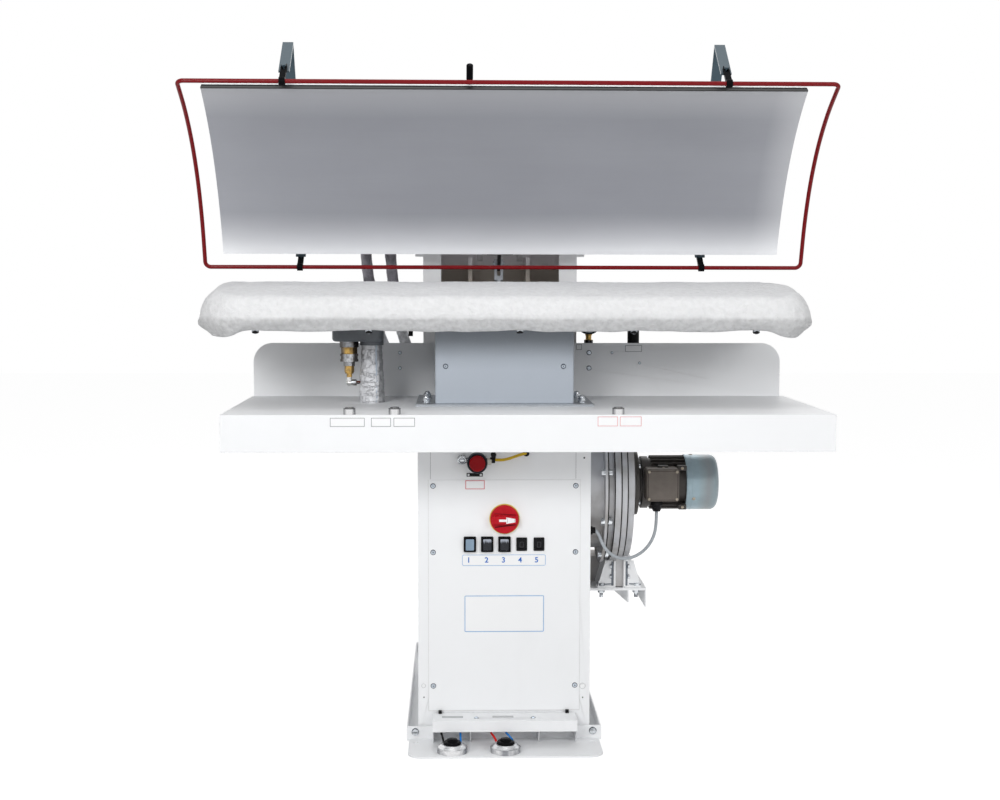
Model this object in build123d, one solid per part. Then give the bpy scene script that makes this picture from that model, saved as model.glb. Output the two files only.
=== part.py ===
from build123d import *
import os
from math import cos, pi, radians, sin, sqrt, tan

# Garment press with a padded board, a swinging heated head, a work tray, a pneumatic
# closing cylinder and a vacuum blower. Millimetres, +Z up, front towards -Y.
# The origin is on the floor, below the middle of the column's front face.

# Cabinet and its front panel
cabinet_half_width = 177.0
cabinet_front = -329.0
sheet = 2.0
panel_side_margin = 21.5
panel_bottom = 61.0
panel_top = 541.0
panel_lap = 10.0
panel_screw_margin = 9.5
panel_screw_radius = 4.6
panel_screw_heights = (113.5, 392.0, 529.0)
blower_port_radius = 90.0

# Base and pedal plate
base_side_reach = 24.0
base_front_step = 4.0
base_rear = 399.0
base_flange_height = 28.0
base_flange_wall = 3.0
floor_plate = 4.0
pedal_plate_depth = 123.0
pedal_plate_side_inset = 5.0
pedal_plate_corner = 30.0
upstand_height = 30.0
upstand_corner = 5.0
anchor_hole_radius = 5.5
anchor_side_margin = 20.0
anchor_front_y = -362.0
anchor_rear_y = 372.0
ear_bolt_margin = 17.6
ear_bolt_z = 19.0
ear_bolt_radius = 6.4
ear_bolt_shank = 3.0
ear_bolt_head = 5.0
ear_bolt_reach = 13.0
ear_washer_radius = 8.0
ear_washer_wall = 1.2

# Column behind the cabinet
column_side_inset = 5.0
column_front = 0.0
column_depth = 215.0
column_wall = 3.0
column_lip = 40.0
column_lip_drop = 60.0
column_top = 1112.0
column_brow = 62.0
column_brow_drop = 40.0
cheek_x = 66.0
cheek_wall = 9.0
cheek_front = 84.0
cheek_bottom = 560.0
cheek_bevel = 60.0
cheek_top = 1000.0

# Work tray
tray_left = -544.0
tray_right = 625.0
tray_front = -549.0
tray_rear = -78.5
tray_top = 694.0
tray_sheet = 2.5
tray_lip = 71.0
splash_height = 116.5
splash_corner = 42.0
splash_left_inset = 3.0
splash_right_inset = 9.0
splash_screw_rises = (61.5, 95.3)
splash_bolt_radius = 4.4
splash_screw_radius = 3.2
splash_left_screw_x = -221.5
splash_plug_radius = 2.6
splash_plugs = ((244.3, 95.4), (305.4, 72.5))
button_places = (-300.7, -215.4, 209.6)
button_y = -535.0
button_radius = 8.4
button_gap = 0.3
button_rise = 14.0
button_reach = 12.0
button_edge = 1.2
collar_radius = 11.5
collar_height = 12.0

# Padded board
board_middle_y = -250.0
board_crown_z = 945.0
board_bottom_z = 850.0
board_half_length = 618.0
board_half_depth = 203.0
board_plan_corner = 95.0
board_end_crown = 46.0
board_shoulder = 24.0
board_side_z = 880.0
board_tuck = 17.0
pad_thickness = 22.0
chest_end_inset = 26.0
chest_side_inset = 24.0
chest_wall = 12.0
chest_floor = 8.0
chest_roof = 44.0
hook_places = (-492.0, -270.0, 27.0, 252.0, 495.0)
hook_radius = 7.0
hook_height = 7.0
hook_edge = 3.0
drain_place = (-196.0, -150.0)
drain_radius = 8.5
drain_stem_radius = 5.0
drain_height = 9.0
drain_reach = 22.0

# Post between tray and board
post_half_width = 141.5
post_front = -321.5
post_rear = -130.0
post_corner = 4.0
post_foot_lap = 3.0
post_foot_front = -359.0
post_foot_rear = -96.0
post_foot_thickness = 4.0
post_bolt_margin = 20.0
post_bolt_rows = (-290.0, -165.0)
post_screw_margin = 21.5
post_screw_rise = 79.0
post_screw_radius = 4.2
duct_half_width = 70.0
duct_front = -290.0
duct_rear = -170.0
duct_wall = 4.0

# Head, drawn closed on the board and then swung open
press_gap = 2.0
hollow_radius = 627.0
head_end_inset = 18.0
head_half_depth = 209.3
plate_thickness = 6.0
gasket_thickness = 5.0
gasket_width = 13.0
gasket_edge = 0.5
head_chest_top = 984.0
head_cover_top = 1022.0
cover_side_height = 26.0
cover_seat_height = 42.0
head_front_slope = 60.0
head_rear_slope = 45.0
head_end_slope = 40.0
cover_edge = 1.0
chest_clearance = 3.0
chest_seat_margin = 2.0
hinge_y = 27.2
hinge_z = 1026.2
head_opening = 49.8
hinge_shaft_radius = 12.5
shaft_overhang = 8.0
running_gap = 0.05
bearing_radius = 26.0
bearing_width = 18.0
bearing_nose_radius = 18.0
bearing_nose = 5.0
arm_x = 39.0
arm_wall = 12.0
arm_height = 42.0
arm_front = -385.0
arm_nose = 24.0
arm_rise = 150.0
arm_throat = 60.0
arm_throat_drop = 20.0
arm_foot_inner = 14.0
arm_foot_outer = 34.0
arm_foot_thickness = 6.0
arm_foot_front = -390.0
arm_foot_rear = -130.0
hub_radius = 36.0
hub_core_radius = 22.0
grip_x = -71.6
grip_drop = 14.0
grip_radius = 6.7
grip_start = 9.0
grip_end = 43.5
grip_edge = 2.5
grip_stem_radius = 3.4

# Closing cylinder and its slotted lever
lever_reach = 90.6
lever_wall = 7.0
lever_root = 20.0
lever_rim = 8.0
pin_radius = 7.0
slot_play = 1.2
slot_near_play = 2.0
slot_far_play = 1.5
fork_depth = 26.0
fork_half_depth = 11.0
fork_wall = 6.0
fork_tip = 12.0
fork_root = 10.0
fork_play = 0.5
pin_head = 3.0
barrel_radius = 35.0
barrel_bore = 32.0
barrel_length = 180.0
barrel_cap = 26.0
barrel_cap_size = 78.0
barrel_cap_corner = 8.0
barrel_floor = 12.0
barrel_roof = 14.0
piston_gap = 0.1
piston_length = 24.0
piston_rest = 2.0
rod_radius = 10.0
rod_hole_gap = 4.0
mount_plate_z = 800.0
mount_plate = 12.0

# Guard round the head
guard_rod_radius = 4.4
guard_middle_x = 7.0
guard_end_gap = 47.0
guard_corner = 12.0
guard_front_y = -487.0
guard_rear_y = -14.0
guard_front_z = 892.0
guard_rear_z = 899.0
guard_side_rise = 60.0
guard_travel = 10.0
strap_x = 436.5
strap_width = 21.5
strap_wall = 4.0
strap_lift = 18.0
strap_front_foot = (-402.0, -370.0)
strap_rear_foot = -120.0
strap_front_end = 42.0
strap_rear_end = 30.0
guide_front_rise = 50.0
guide_rear_rise = 38.0
guide_radius = 2.8
guide_head_radius = 5.0
guide_head = 4.0
clip_width = 12.0
clip_wall = 7.0
clip_corner = 3.0
clip_eye_radius = 8.0
clip_tip = 8.0
clip_slot_half_width = 3.2
clip_slot_play = 0.7
slide_gap = 0.3

# Steam line and hoses
hose_radius = 13.5
nipple_radius = 11.0
nipple_gap = 1.0
nipple_places = (-297.0, -243.0)
nipple_end_y = -18.0
nipple_root = 40.0
nipple_z = 965.0
manifold_places = (-257.0, -208.0)
manifold_left = -285.0
manifold_y = 4.0
manifold_half_depth = 18.0
manifold_top = 740.0
manifold_height = 40.0
manifold_corner = 6.0
manifold_nut = 26.0
manifold_nut_height = 12.0
manifold_nipple = 8.0
sleeve_x = -274.0
sleeve_y = -245.0
sleeve_radius = 25.5
sleeve_low_rise = 30.0
steam_pipe_radius = 11.0
steam_pipe_rise = 8.0
steam_elbow_radius = 14.0
casting_left = -354.0
casting_right = -250.0
casting_front = -282.0
casting_rear = -208.0
casting_height = 29.0
casting_corner = 14.0
casting_edge = 7.0
casting_hub = 8.0
casting_hub_radius = 24.5
fitting_x = -320.5
fitting_y = -250.0
fitting_hexagons = ((34.0, 12.0), (29.0, 14.0))
coupling_radius = 16.7
coupling_height = 16.0
lower_hexagons = ((20.0, 9.0), (17.5, 13.0))
fitting_neck_radius = 5.6
fitting_neck = 15.0
elbow_radius = 7.0
elbow_reach = 15.0
drain_tube_radius = 3.0

# Air devices
gauge_x = 197.0
gauge_y = -28.0
gauge_z = 854.0
gauge_radius = 26.5
gauge_depth = 24.0
gauge_edge = 2.5
gauge_rim = 4.0
gauge_recess = 2.0
gauge_neck_radius = 6.0
gauge_neck = 12.0
gauge_nut = 17.0
gauge_nut_height = 10.0
regulator_half_width = 22.0
regulator_height = 62.0
regulator_rear = 14.0
regulator_corner = 6.0
bowl_radius = 17.0
bowl_height = 30.0
bowl_setback = 8.0
filter_x = 295.0
filter_radius = 13.0
filter_setback = 18.0
filter_low = 70.0
filter_high = 152.0
filter_block_left = 60.0
filter_block_right = 16.0
filter_block_low = 62.0
filter_block_high = 106.0
filter_block_corner = 4.0

# Front panel devices
isolator_z = 461.0
isolator_radius = 31.0
isolator_plate_wall = 3.0
isolator_gap = 0.2
isolator_rim = 1.6
isolator_disc = 7.0
isolator_edge = 3.0
grip_half_length = 26.0
grip_half_height = 8.0
isolator_grip_rise = 11.0
isolator_grip_inset = 4.0
knob_shaft_radius = 5.5
knob_shaft_reach = 8.0
shaft_hole_gap = 0.5
rocker_z = 408.6
rocker_pitch = 35.4
rocker_tilt = 6.0
rocker_count = 5
covered_rockers = 3
covered_frame = (12.7, 16.0)
plain_frame = (11.0, 13.8)
frame_rim = 2.5
frame_corner = 1.8
frame_body = (7.8, 11.3)
frame_room = (6.4, 10.0)
frame_depth = 18.0
frame_room_depth = 12.0
frame_hole_gap = 0.2
rocker_half_width = 6.0
rocker_half_height = 8.6
rocker_pivot_depth = 2.0
rocker_lip = 5.4
rocker_waist = 4.2
rocker_tail = 5.0
cover_half = (10.6, 14.0)
cover_rise = 6.5
cover_corner = 2.4
cover_wall = 1.4
cover_front_wall = 1.2
stop_x = -56.0
stop_z = 578.0
stop_travel = 4.0
stop_body_radius = 20.0
stop_body_depth = 24.0
stop_well_radius = 17.0
stop_well_depth = 6.0
stop_stem_radius = 6.0
stop_button_radius = 16.3
stop_button_rise = 11.0
stop_button_edge = 4.0
stop_stem_gap = 0.2
stop_stem_depth = 16.0
side_fitting_depth = 13.0
side_fitting_reach = 31.0
side_fitting_rise = 6.0
side_fitting_radius = 9.3
side_fitting_half = 7.0
side_pipe_radius = 5.0
stop_nut = 11.0
stop_nut_rise = 3.0
stop_nut_length = 9.0
stop_outlet_radius = 5.2
stop_outlet_reach = 35.0
stop_outlet_depth = 14.0
air_inlet_reach = 100.0
air_inlet_rise = 18.5
air_inlet_radius = 5.5
air_inlet_depth = 8.0
air_tube_radius = 3.0

# Blower
fan_y = -165.0
fan_z = 514.0
inlet_length = 30.0
inlet_radius = 140.0
rim_radius = 172.0
rim_width = 6.0
waist_width = 14.0
waist_radius = 158.0
scroll_steps = ((168.0, 14.0), (165.0, 13.0), (160.0, 14.0))
scroll_wall = 6.0
wheel_gap = 4.0
wheel_radius = 138.0
wheel_tip_gap = 8.0
wheel_back = 3.0
wheel_hub_radius = 26.0
wheel_hub_inset = 8.0
blade_root = 62.0
blade_wall = 3.0
blade_lean = 17.0
blade_sweep = 48.0
blade_bow = 6.0
blade_tip_inset = 3.0
blade_count = 9
fan_shaft_radius = 9.0
shaft_hole_radius = 12.0
boss_radius = 62.0
boss_length = 14.0
outlet_height = 80.0
outlet_reach = 220.0
outlet_start = 60.0
outlet_wall = 8.0
outlet_flange = 8.0
outlet_flange_reach = 10.0
spout_front = -125.0
spout_rear = -45.0
spout_height = 55.0
spout_neck = 60.0
rim_bolt_count = 10
rim_bolt_turn = 14.2
rim_bolt_inset = 6.0
lug_width = 17.0
lug_setback = 36.0
lug_half_depth = 30.0
lug_lift = 2.0
lug_overlap = 30.0
motor_flange_radius = 70.0
motor_flange = 7.0
motor_neck_radius = 47.0
motor_neck = 9.0
motor_shield_radius = 56.0
motor_shield = 14.0
motor_length = 108.0
motor_radius = 52.0
fin_height = 6.0
fin_wall = 2.2
fin_count = 28
fin_end_gap = 6.0
terminal_half_angle = 40.0
motor_bolt_circle = 54.0
motor_bolt_radius = 4.5
motor_cowl_radius = 59.0
cowl_wall = 1.5
cowl_lap = 6.0
cowl_length = 64.0
cowl_edge = 14.0
cowl_slot = (16.0, 40.0)
cowl_slot_count = 12
cowl_slot_half_width = 1.6
terminal_left = 12.4
terminal_width = 70.0
terminal_low = 31.0
terminal_high = 38.0
terminal_depth = 34.0
terminal_lid = 6.0
terminal_lid_inset = 1.5
terminal_lid_corner = 9.0
terminal_corner = 5.0
gland_offset = 24.0
gland_depth = 16.0
gland_radius = 11.0
gland_nut = 9.0
gland_tip_radius = 8.0
gland_length = 22.0
cabinet_gland_y = -303.0
cabinet_gland_z = 432.0
cabinet_gland_radius = 9.0
cabinet_gland_tip_radius = 6.5
cabinet_gland_nut = 6.0
cabinet_gland_length = 12.0
motor_cable_radius = 3.3
shelf_top = 290.0
shelf_wall = 5.0
shelf_reach = 41.0
shelf_front = -205.0
shelf_rear = 171.0
shelf_side_height = 60.0
shelf_plate = 3.0
shelf_flange = 41.0
gusset_inset = 37.0
gusset_front = 31.0
gusset_rear = 74.0
foot_plate_reach = 38.0
foot_plate_wall = 4.0
foot_half_depth = 34.0
foot_leg_wall = 6.0
foot_web_wall = 3.0
foot_web_rise = 72.0
foot_web_top = 18.0
foot_gap = 0.4
foot_bolt_reach = 29.0
foot_bolt_y = -185.0
foot_bolt_length = 26.0
lug_bolt_rises = (25.0, 47.0)

# Pedal valves
pedal_places = (-107.0, 0.0)
pedal_y = -424.0
puck_radius = 30.5
puck_height = 17.0
puck_skirt = 10.0
puck_seat_radius = 14.0
puck_land = 4.0
puck_floor = 8.0
dome_gap = 0.4
dome_radius = 18.0
dome_travel = 4.0
dome_rise = 3.0
dome_crown = 1.0
hood_half_width = 147.0
hood_front = -392.0
hood_top_z = 57.0
hood_lip_z = 34.0
hood_webs = (-71.0, 69.0)
hood_web_foot = 30.0
hood_screw_x = 58.0
hood_screw_y = -370.0
pedal_tube_radius = 2.2
pedal_tube_side = 17.0
pedal_tube_shifts = (-8.0, -1.0, -17.0, -22.0)

# Screws and hexagon bolts
screw_head_share = 0.6
screw_depth = 8.0
hood_screw_depth = 4.0
hood_screw_rise = 2.5
splash_bolt_depth = 13.0
splash_bolt_offset = 3.5
hexagon = 13.0
hexagon_height = 8.0
bolt_shank = 4.0
bolt_tip = 5.0
cross_bolt_radius = 6.5
cross_bolt_head = 6.0
post_bolt_reach = 13.0
flange_bolt_shank = 3.0

# Worked out from the sizes above
panel_half_width = cabinet_half_width - panel_side_margin
base_half_width = cabinet_half_width + base_side_reach
base_front = cabinet_front - base_front_step
upstand_front = base_front - base_flange_wall
pedal_plate_front = base_front - pedal_plate_depth
column_half_width = cabinet_half_width - column_side_inset
column_rear = column_front + column_depth
post_foot_half_width = cabinet_half_width + post_foot_lap
post_foot_top = tray_top + post_foot_thickness
head_half_length = board_half_length - head_end_inset
guard_half_width = head_half_length + guard_end_gap
cylinder_y = hinge_y + lever_reach
casting_bottom = board_bottom_z - casting_height
panel_face = cabinet_front - sheet
scroll_left = cabinet_half_width + inlet_length
rim_right = scroll_left + rim_width
steps_left = rim_right + waist_width
scroll_right = steps_left + sum(width for radius, width in scroll_steps)
lug_left = scroll_left + lug_setback
lug_right = lug_left + lug_width
motor_left = scroll_right + boss_length + motor_flange
shield_right = motor_left + motor_neck + motor_shield
motor_right = motor_left + motor_length
cowl_right = motor_right + cowl_length
shelf_right = scroll_right + shelf_reach
terminal_x = motor_left + terminal_left
terminal_front = fan_y - motor_radius - terminal_depth
gland_x = terminal_x + gland_offset
gland_y = fan_y - motor_radius - gland_depth
gland_top = fan_z - terminal_low


def block(x, y, z):
    """A straight block between (low, high) pairs."""
    size = (x[1] - x[0], y[1] - y[0], z[1] - z[0])
    middle = ((x[0] + x[1]) / 2, (y[0] + y[1]) / 2, (z[0] + z[1]) / 2)
    return Pos(*middle) * Box(*size)


def bar_x(radius, x, y, z):
    """A round bar along X from x[0] to x[1]."""
    return Pos((x[0] + x[1]) / 2, y, z) * Rot(0, 90, 0) * Cylinder(radius, x[1] - x[0])


def bar_y(radius, x, y, z):
    """A round bar along Y from y[0] to y[1]."""
    return Pos(x, (y[0] + y[1]) / 2, z) * Rot(90, 0, 0) * Cylinder(radius, y[1] - y[0])


def bar_z(radius, x, y, z):
    """A round bar along Z from z[0] to z[1]."""
    return Pos(x, y, (z[0] + z[1]) / 2) * Cylinder(radius, z[1] - z[0])


def side_plate(points, x):
    """A plate of the given (y, z) outline between x[0] and x[1]."""
    outline = make_face(Polyline(*points, close=True))
    return extrude(Plane.YZ.offset(x[0]) * outline, x[1] - x[0])


def front_plate(points, y):
    """A plate of the given (x, z) outline between y[0] and y[1]."""
    outline = make_face(Polyline(*points, close=True))
    return extrude(Plane.XZ.offset(-y[1]) * outline, y[1] - y[0])


def hexagon_z(across, x, y, z):
    """An upright hexagon bar, measured across its flats."""
    prism = extrude(RegularPolygon(across / sqrt(3), 6), z[1] - z[0])
    return Pos(x, y, z[0]) * prism


def hexagon_x(across, x, y, z):
    """A hexagon bar along X, measured across its flats."""
    prism = extrude(RegularPolygon(across / sqrt(3), 6), x[1] - x[0])
    return Pos(x[0], y, z) * Rot(0, 90, 0) * prism


def open_head(shape):
    """Swing a shape from the closed place of the head to its open place."""
    return shape.rotate(Axis((0, hinge_y, hinge_z), (1, 0, 0)), -head_opening)


def open_point(y, z):
    """Swing one (y, z) point from closed to open."""
    turn = radians(-head_opening)
    dy, dz = y - hinge_y, z - hinge_z
    return (hinge_y + dy * cos(turn) - dz * sin(turn), hinge_z + dy * sin(turn) + dz * cos(turn))


def tube_path(points):
    """Straight runs joined by tangent arcs, as large as the runs allow."""
    radii = []
    for a, b, c in zip(points, points[1:], points[2:]):
        before = Vector(*b) - Vector(*a)
        after = Vector(*c) - Vector(*b)
        turn = radians(before.get_angle(after))
        run = min(before.length, after.length)
        radii.append(0.45 * run / tan(turn / 2))
    return FilletPolyline(*points, radius=radii), radii


def tube(points, radius, name):
    """A round tube along a route; it prints its bend radii and checks its volume."""
    path, radii = tube_path(points)
    solid = sweep((path ^ 0) * Circle(radius), path=path)
    share = solid.volume / (pi * radius ** 2 * path.length)
    print(name, "length", round(path.length), "radii", [round(r) for r in radii],
          "volume share", round(share, 3))
    return solid


# Base

def base_frame():
    """Floor plate with an upturned flange all round."""
    half = base_half_width
    body = block((-half, half), (base_front, base_rear), (0, base_flange_height))
    inner = half - base_flange_wall
    body -= block((-inner, inner), (base_front + base_flange_wall, base_rear - base_flange_wall),
                  (floor_plate, base_flange_height + 1))
    for side in (-1, 1):
        anchor_x = side * (half - anchor_side_margin)
        body -= bar_z(anchor_hole_radius, anchor_x, anchor_rear_y, (-1, floor_plate + 1))
    return body


def foot_plate():
    """Pedal plate on the floor, with an upstand bolted to the base."""
    half = base_half_width - pedal_plate_side_inset
    plate = extrude(Rectangle(2 * half, pedal_plate_depth), floor_plate)
    front_corners = plate.edges().filter_by(Axis.Z).sort_by(Axis.Y)[:2]
    plate = Pos(0, (base_front + pedal_plate_front) / 2, 0) * fillet(front_corners, pedal_plate_corner)
    upstand = block((-base_half_width, base_half_width), (upstand_front, base_front), (0, upstand_height))
    tops = upstand.edges().filter_by(Axis.Y).sort_by(Axis.Z)[-2:]
    body = plate + fillet(tops, upstand_corner)
    for side in (-1, 1):
        anchor_x = side * (base_half_width - anchor_side_margin)
        body -= bar_z(anchor_hole_radius, anchor_x, anchor_front_y, (-1, floor_plate + 1))
    return body


def pedal_bases():
    """Two turned rings that hold the rubber domes."""
    top = floor_plate + puck_height
    seat = floor_plate + puck_floor
    profile = Polyline((puck_seat_radius, floor_plate), (puck_radius, floor_plate),
                       (puck_radius, floor_plate + puck_skirt), (dome_radius + puck_land, top),
                       (dome_radius + dome_gap, top), (dome_radius + dome_gap, seat),
                       (puck_seat_radius, seat), close=True)
    ring = revolve(Plane.XZ * make_face(profile), Axis.Z)
    return [Pos(x, pedal_y, 0) * ring for x in pedal_places]


def pedal_dome(x):
    """Rubber dome that a foot presses down."""
    low = floor_plate + puck_floor + dome_travel + running_gap
    high = floor_plate + puck_height + dome_rise
    half = dome_radius
    crown = Spline((half, high - dome_rise), (half * 0.75, high), (0, high + dome_crown),
                   tangents=((0, 1), (-1, 0)))
    profile = make_face(Line((0, low), (half, low)) + Line((half, low), (half, high - dome_rise)) + crown
                        + Line((0, high + dome_crown), (0, low)))
    return Pos(x, pedal_y, 0) * revolve(Plane.XZ * profile, Axis.Z)


def pedal_hood():
    """Bent sheet hood over the pedal tubes, with four upright webs."""
    outline = [(panel_face, hood_top_z), (hood_front, hood_top_z), (hood_front, hood_lip_z),
               (hood_front + sheet, hood_lip_z), (hood_front + sheet, hood_top_z - sheet),
               (panel_face, hood_top_z - sheet)]
    body = side_plate(outline, (-hood_half_width, hood_half_width))
    under = hood_top_z - sheet / 2
    face = hood_front + sheet / 2
    web = [(panel_face, under), (face, under), (face, hood_lip_z),
           (hood_front + hood_web_foot, floor_plate), (upstand_front, floor_plate),
           (upstand_front, upstand_height), (panel_face, upstand_height)]
    for x in (-hood_half_width, *hood_webs, hood_half_width - sheet):
        body += side_plate(web, (x, x + sheet))
    return body


def pedal_tube_routes():
    """Two air tubes from each pedal valve under the hood into the cabinet's front."""
    routes = []
    for index, shift in enumerate(pedal_tube_shifts):
        near = pedal_places[index // 2] + (pedal_tube_side if index % 2 else -pedal_tube_side)
        far = near + shift
        y, z = pedal_y, floor_plate
        routes.append([(near, y + 15, z + 11), (near + 0.1 * shift, y + 19.5, z + 17.5),
                       (near + 0.35 * shift, y + 27, z + 22.5), (near + 0.7 * shift, y + 44, z + 26),
                       (far, y + 68, z + 37), (far, cabinet_front, z + 37)])
    return routes


# Cabinet and column

def rocker_x(index):
    """Middle of a rocker switch across the panel."""
    return (index - (rocker_count - 1) / 2) * rocker_pitch


def panel_cutouts():
    """Holes of the front panel for the switches."""
    depth = (panel_face - 1, cabinet_front + 1)
    holes = [bar_y(knob_shaft_radius + shaft_hole_gap, 0, depth, isolator_z)]
    half_x, half_z = (half + frame_hole_gap for half in frame_body)
    for index in range(rocker_count):
        x = rocker_x(index)
        holes.append(block((x - half_x, x + half_x), depth, (rocker_z - half_z, rocker_z + half_z)))
    return holes


def cabinet_shell():
    """Folded sheet box with a framed front opening."""
    half = cabinet_half_width
    top = tray_top - tray_sheet
    body = block((-half, half), (cabinet_front, column_front), (floor_plate, top))
    body -= block((-half + sheet, half - sheet), (cabinet_front + sheet, column_front - sheet),
                  (floor_plate + sheet, top - sheet))
    opening = panel_half_width - panel_lap
    body -= block((-opening, opening), (cabinet_front - 1, cabinet_front + sheet + 1),
                  (panel_bottom + panel_lap, panel_top - panel_lap))
    body -= duct_core(top - sheet - 1, top + 1)
    body -= bar_x(blower_port_radius, (half - sheet - 1, half + 1), fan_y, fan_z)
    return body


def cabinet_front_panel():
    """Flat screwed panel with cut-outs for its switches."""
    half = panel_half_width
    body = block((-half, half), (panel_face, cabinet_front), (panel_bottom, panel_top))
    for hole in panel_cutouts():
        body -= hole
    return body


def rear_column():
    """Welded column, open in front between its lips, with the cylinder's cheeks inside."""
    half = column_half_width
    inner = half - column_wall
    rear_wall = column_rear - column_wall
    floor = floor_plate + column_wall
    brow = column_front + column_brow
    side = [(column_front, floor_plate), (column_rear, floor_plate), (column_rear, column_top),
            (brow, column_top), (column_front, column_top - column_brow_drop)]
    body = side_plate(side, (-half, half))
    hollow = [(column_front - 1, floor), (rear_wall, floor), (rear_wall, column_top - column_wall),
              (brow, column_top - column_wall), (brow, column_top + 1), (column_front - 1, column_top + 1)]
    body -= side_plate(hollow, (-inner, inner))
    lip = block((half - column_lip, inner), (column_front, column_front + column_wall),
                (floor, column_top - column_lip_drop))
    body += lip + mirror(lip, Plane.YZ)
    cheek = [(cheek_front, cheek_bottom + cheek_bevel), (cheek_front + cheek_bevel, cheek_bottom),
             (rear_wall, cheek_bottom), (rear_wall, cheek_top), (cheek_front, cheek_top)]
    for x in (-cheek_x, cheek_x):
        body += side_plate(cheek, (x - cheek_wall / 2, x + cheek_wall / 2))
    plate_top = mount_plate_z + mount_plate
    body += block((-cheek_x, cheek_x), (cheek_front, rear_wall), (mount_plate_z, plate_top))
    body -= bar_z(rod_radius + rod_hole_gap, 0, cylinder_y, (mount_plate_z - 1, plate_top + 1))
    body -= bar_x(hinge_shaft_radius + shaft_hole_gap, (-half - 1, half + 1), hinge_y, hinge_z)
    return body


def hinge_bearings():
    """Two flanged bearings on the outside of the column."""
    face = column_half_width
    nose = face + bearing_width
    ring = bar_x(bearing_radius, (face, nose), hinge_y, hinge_z)
    ring += bar_x(bearing_nose_radius, (nose, nose + bearing_nose), hinge_y, hinge_z)
    ring -= bar_x(hinge_shaft_radius + running_gap, (face - 1, nose + bearing_nose + 1), hinge_y, hinge_z)
    return [ring, mirror(ring, Plane.YZ)]


def cylinder_barrel():
    """Pneumatic cylinder hung under the plate between the cheeks."""
    top = mount_plate_z
    low = top - barrel_length
    body = bar_z(barrel_radius, 0, cylinder_y, (low, top))
    for z in (low, top - barrel_cap):
        cap = extrude(RectangleRounded(barrel_cap_size, barrel_cap_size, barrel_cap_corner), barrel_cap)
        body += Pos(0, cylinder_y, z) * cap
    body -= bar_z(barrel_bore, 0, cylinder_y, (low + barrel_floor, top - barrel_roof))
    body -= bar_z(rod_radius + running_gap, 0, cylinder_y, (top - barrel_roof - 1, top + 1))
    return body


def cylinder_rod():
    """Piston and rod with a forked end and its pin."""
    pin_z = hinge_z - lever_reach * tan(radians(head_opening / 2))
    low = mount_plate_z - barrel_length + barrel_floor + piston_rest
    fork_low = pin_z - fork_depth - fork_root
    rod = bar_z(rod_radius, 0, cylinder_y, (low, fork_low))
    rod += bar_z(barrel_bore - piston_gap, 0, cylinder_y, (low, low + piston_length))
    tine = lever_wall / 2 + fork_play
    outer = tine + fork_wall
    fork = block((-outer, outer), (cylinder_y - fork_half_depth, cylinder_y + fork_half_depth),
                 (fork_low, pin_z + fork_tip))
    fork -= block((-tine, tine), (cylinder_y - fork_half_depth - 1, cylinder_y + fork_half_depth + 1),
                  (pin_z - fork_depth, pin_z + fork_tip + 1))
    return rod + fork + bar_x(pin_radius, (-outer - pin_head, outer + pin_head), cylinder_y, pin_z)


# Tray, post and board

def duct_core(low, high):
    """Space of the suction duct through tray and cabinet top."""
    return block((-duct_half_width, duct_half_width), (duct_front, duct_rear), (low, high))


def table_tray():
    """Folded work tray with a lip in front and at the sides and a splash plate behind."""
    low = tray_top - tray_lip
    under = tray_top - tray_sheet
    through = (under - 1, tray_top + 1)
    body = block((tray_left, tray_right), (tray_front, tray_rear), (low, tray_top))
    body -= block((tray_left + tray_sheet, tray_right - tray_sheet),
                  (tray_front + tray_sheet, tray_rear + 1), (low - 1, under))
    splash = block((tray_left + splash_left_inset, tray_right - splash_right_inset),
                   (tray_rear - tray_sheet, tray_rear), (under, tray_top + splash_height))
    corners = splash.edges().filter_by(Axis.Y).sort_by(Axis.Z)[-2:]
    body += fillet(corners, splash_corner)
    body -= duct_core(*through)
    body -= bar_z(sleeve_radius, sleeve_x, sleeve_y, through)
    for x in button_places:
        body -= bar_z(button_radius + button_gap, x, button_y, through)
    return body


def button_collars():
    """Steel collars that shield the tray's push buttons."""
    collars = []
    for x in button_places:
        collar = bar_z(collar_radius, x, button_y, (tray_top, tray_top + collar_height))
        bore = bar_z(button_radius + button_gap, x, button_y, (tray_top - 1, tray_top + collar_height + 1))
        collars.append(collar - bore)
    return collars


def push_button(x):
    """Plunger that sinks into its collar."""
    body = bar_z(button_radius, x, button_y, (tray_top - button_reach, tray_top + button_rise))
    return fillet(body.edges().group_by(Axis.Z)[-1], button_edge)


def post_duct():
    """Suction duct and carrier of the board, with its foot plate."""
    half = duct_half_width + duct_wall
    body = block((-post_foot_half_width, post_foot_half_width), (post_foot_front, post_foot_rear),
                 (tray_top, post_foot_top))
    body += block((-half, half), (duct_front - duct_wall, duct_rear + duct_wall), (tray_top, board_bottom_z))
    return body - duct_core(tray_top - 1, board_bottom_z + 1)


def post_cowl():
    """Grey sheet cowl round the post."""
    half = post_half_width
    body = block((-half, half), (post_front, post_rear), (post_foot_top, board_bottom_z))
    body = fillet(body.edges().filter_by(Axis.Z), post_corner)
    inner = half - sheet
    return body - block((-inner, inner), (post_front + sheet, post_rear - sheet),
                        (post_foot_top - 1, board_bottom_z + 1))


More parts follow.
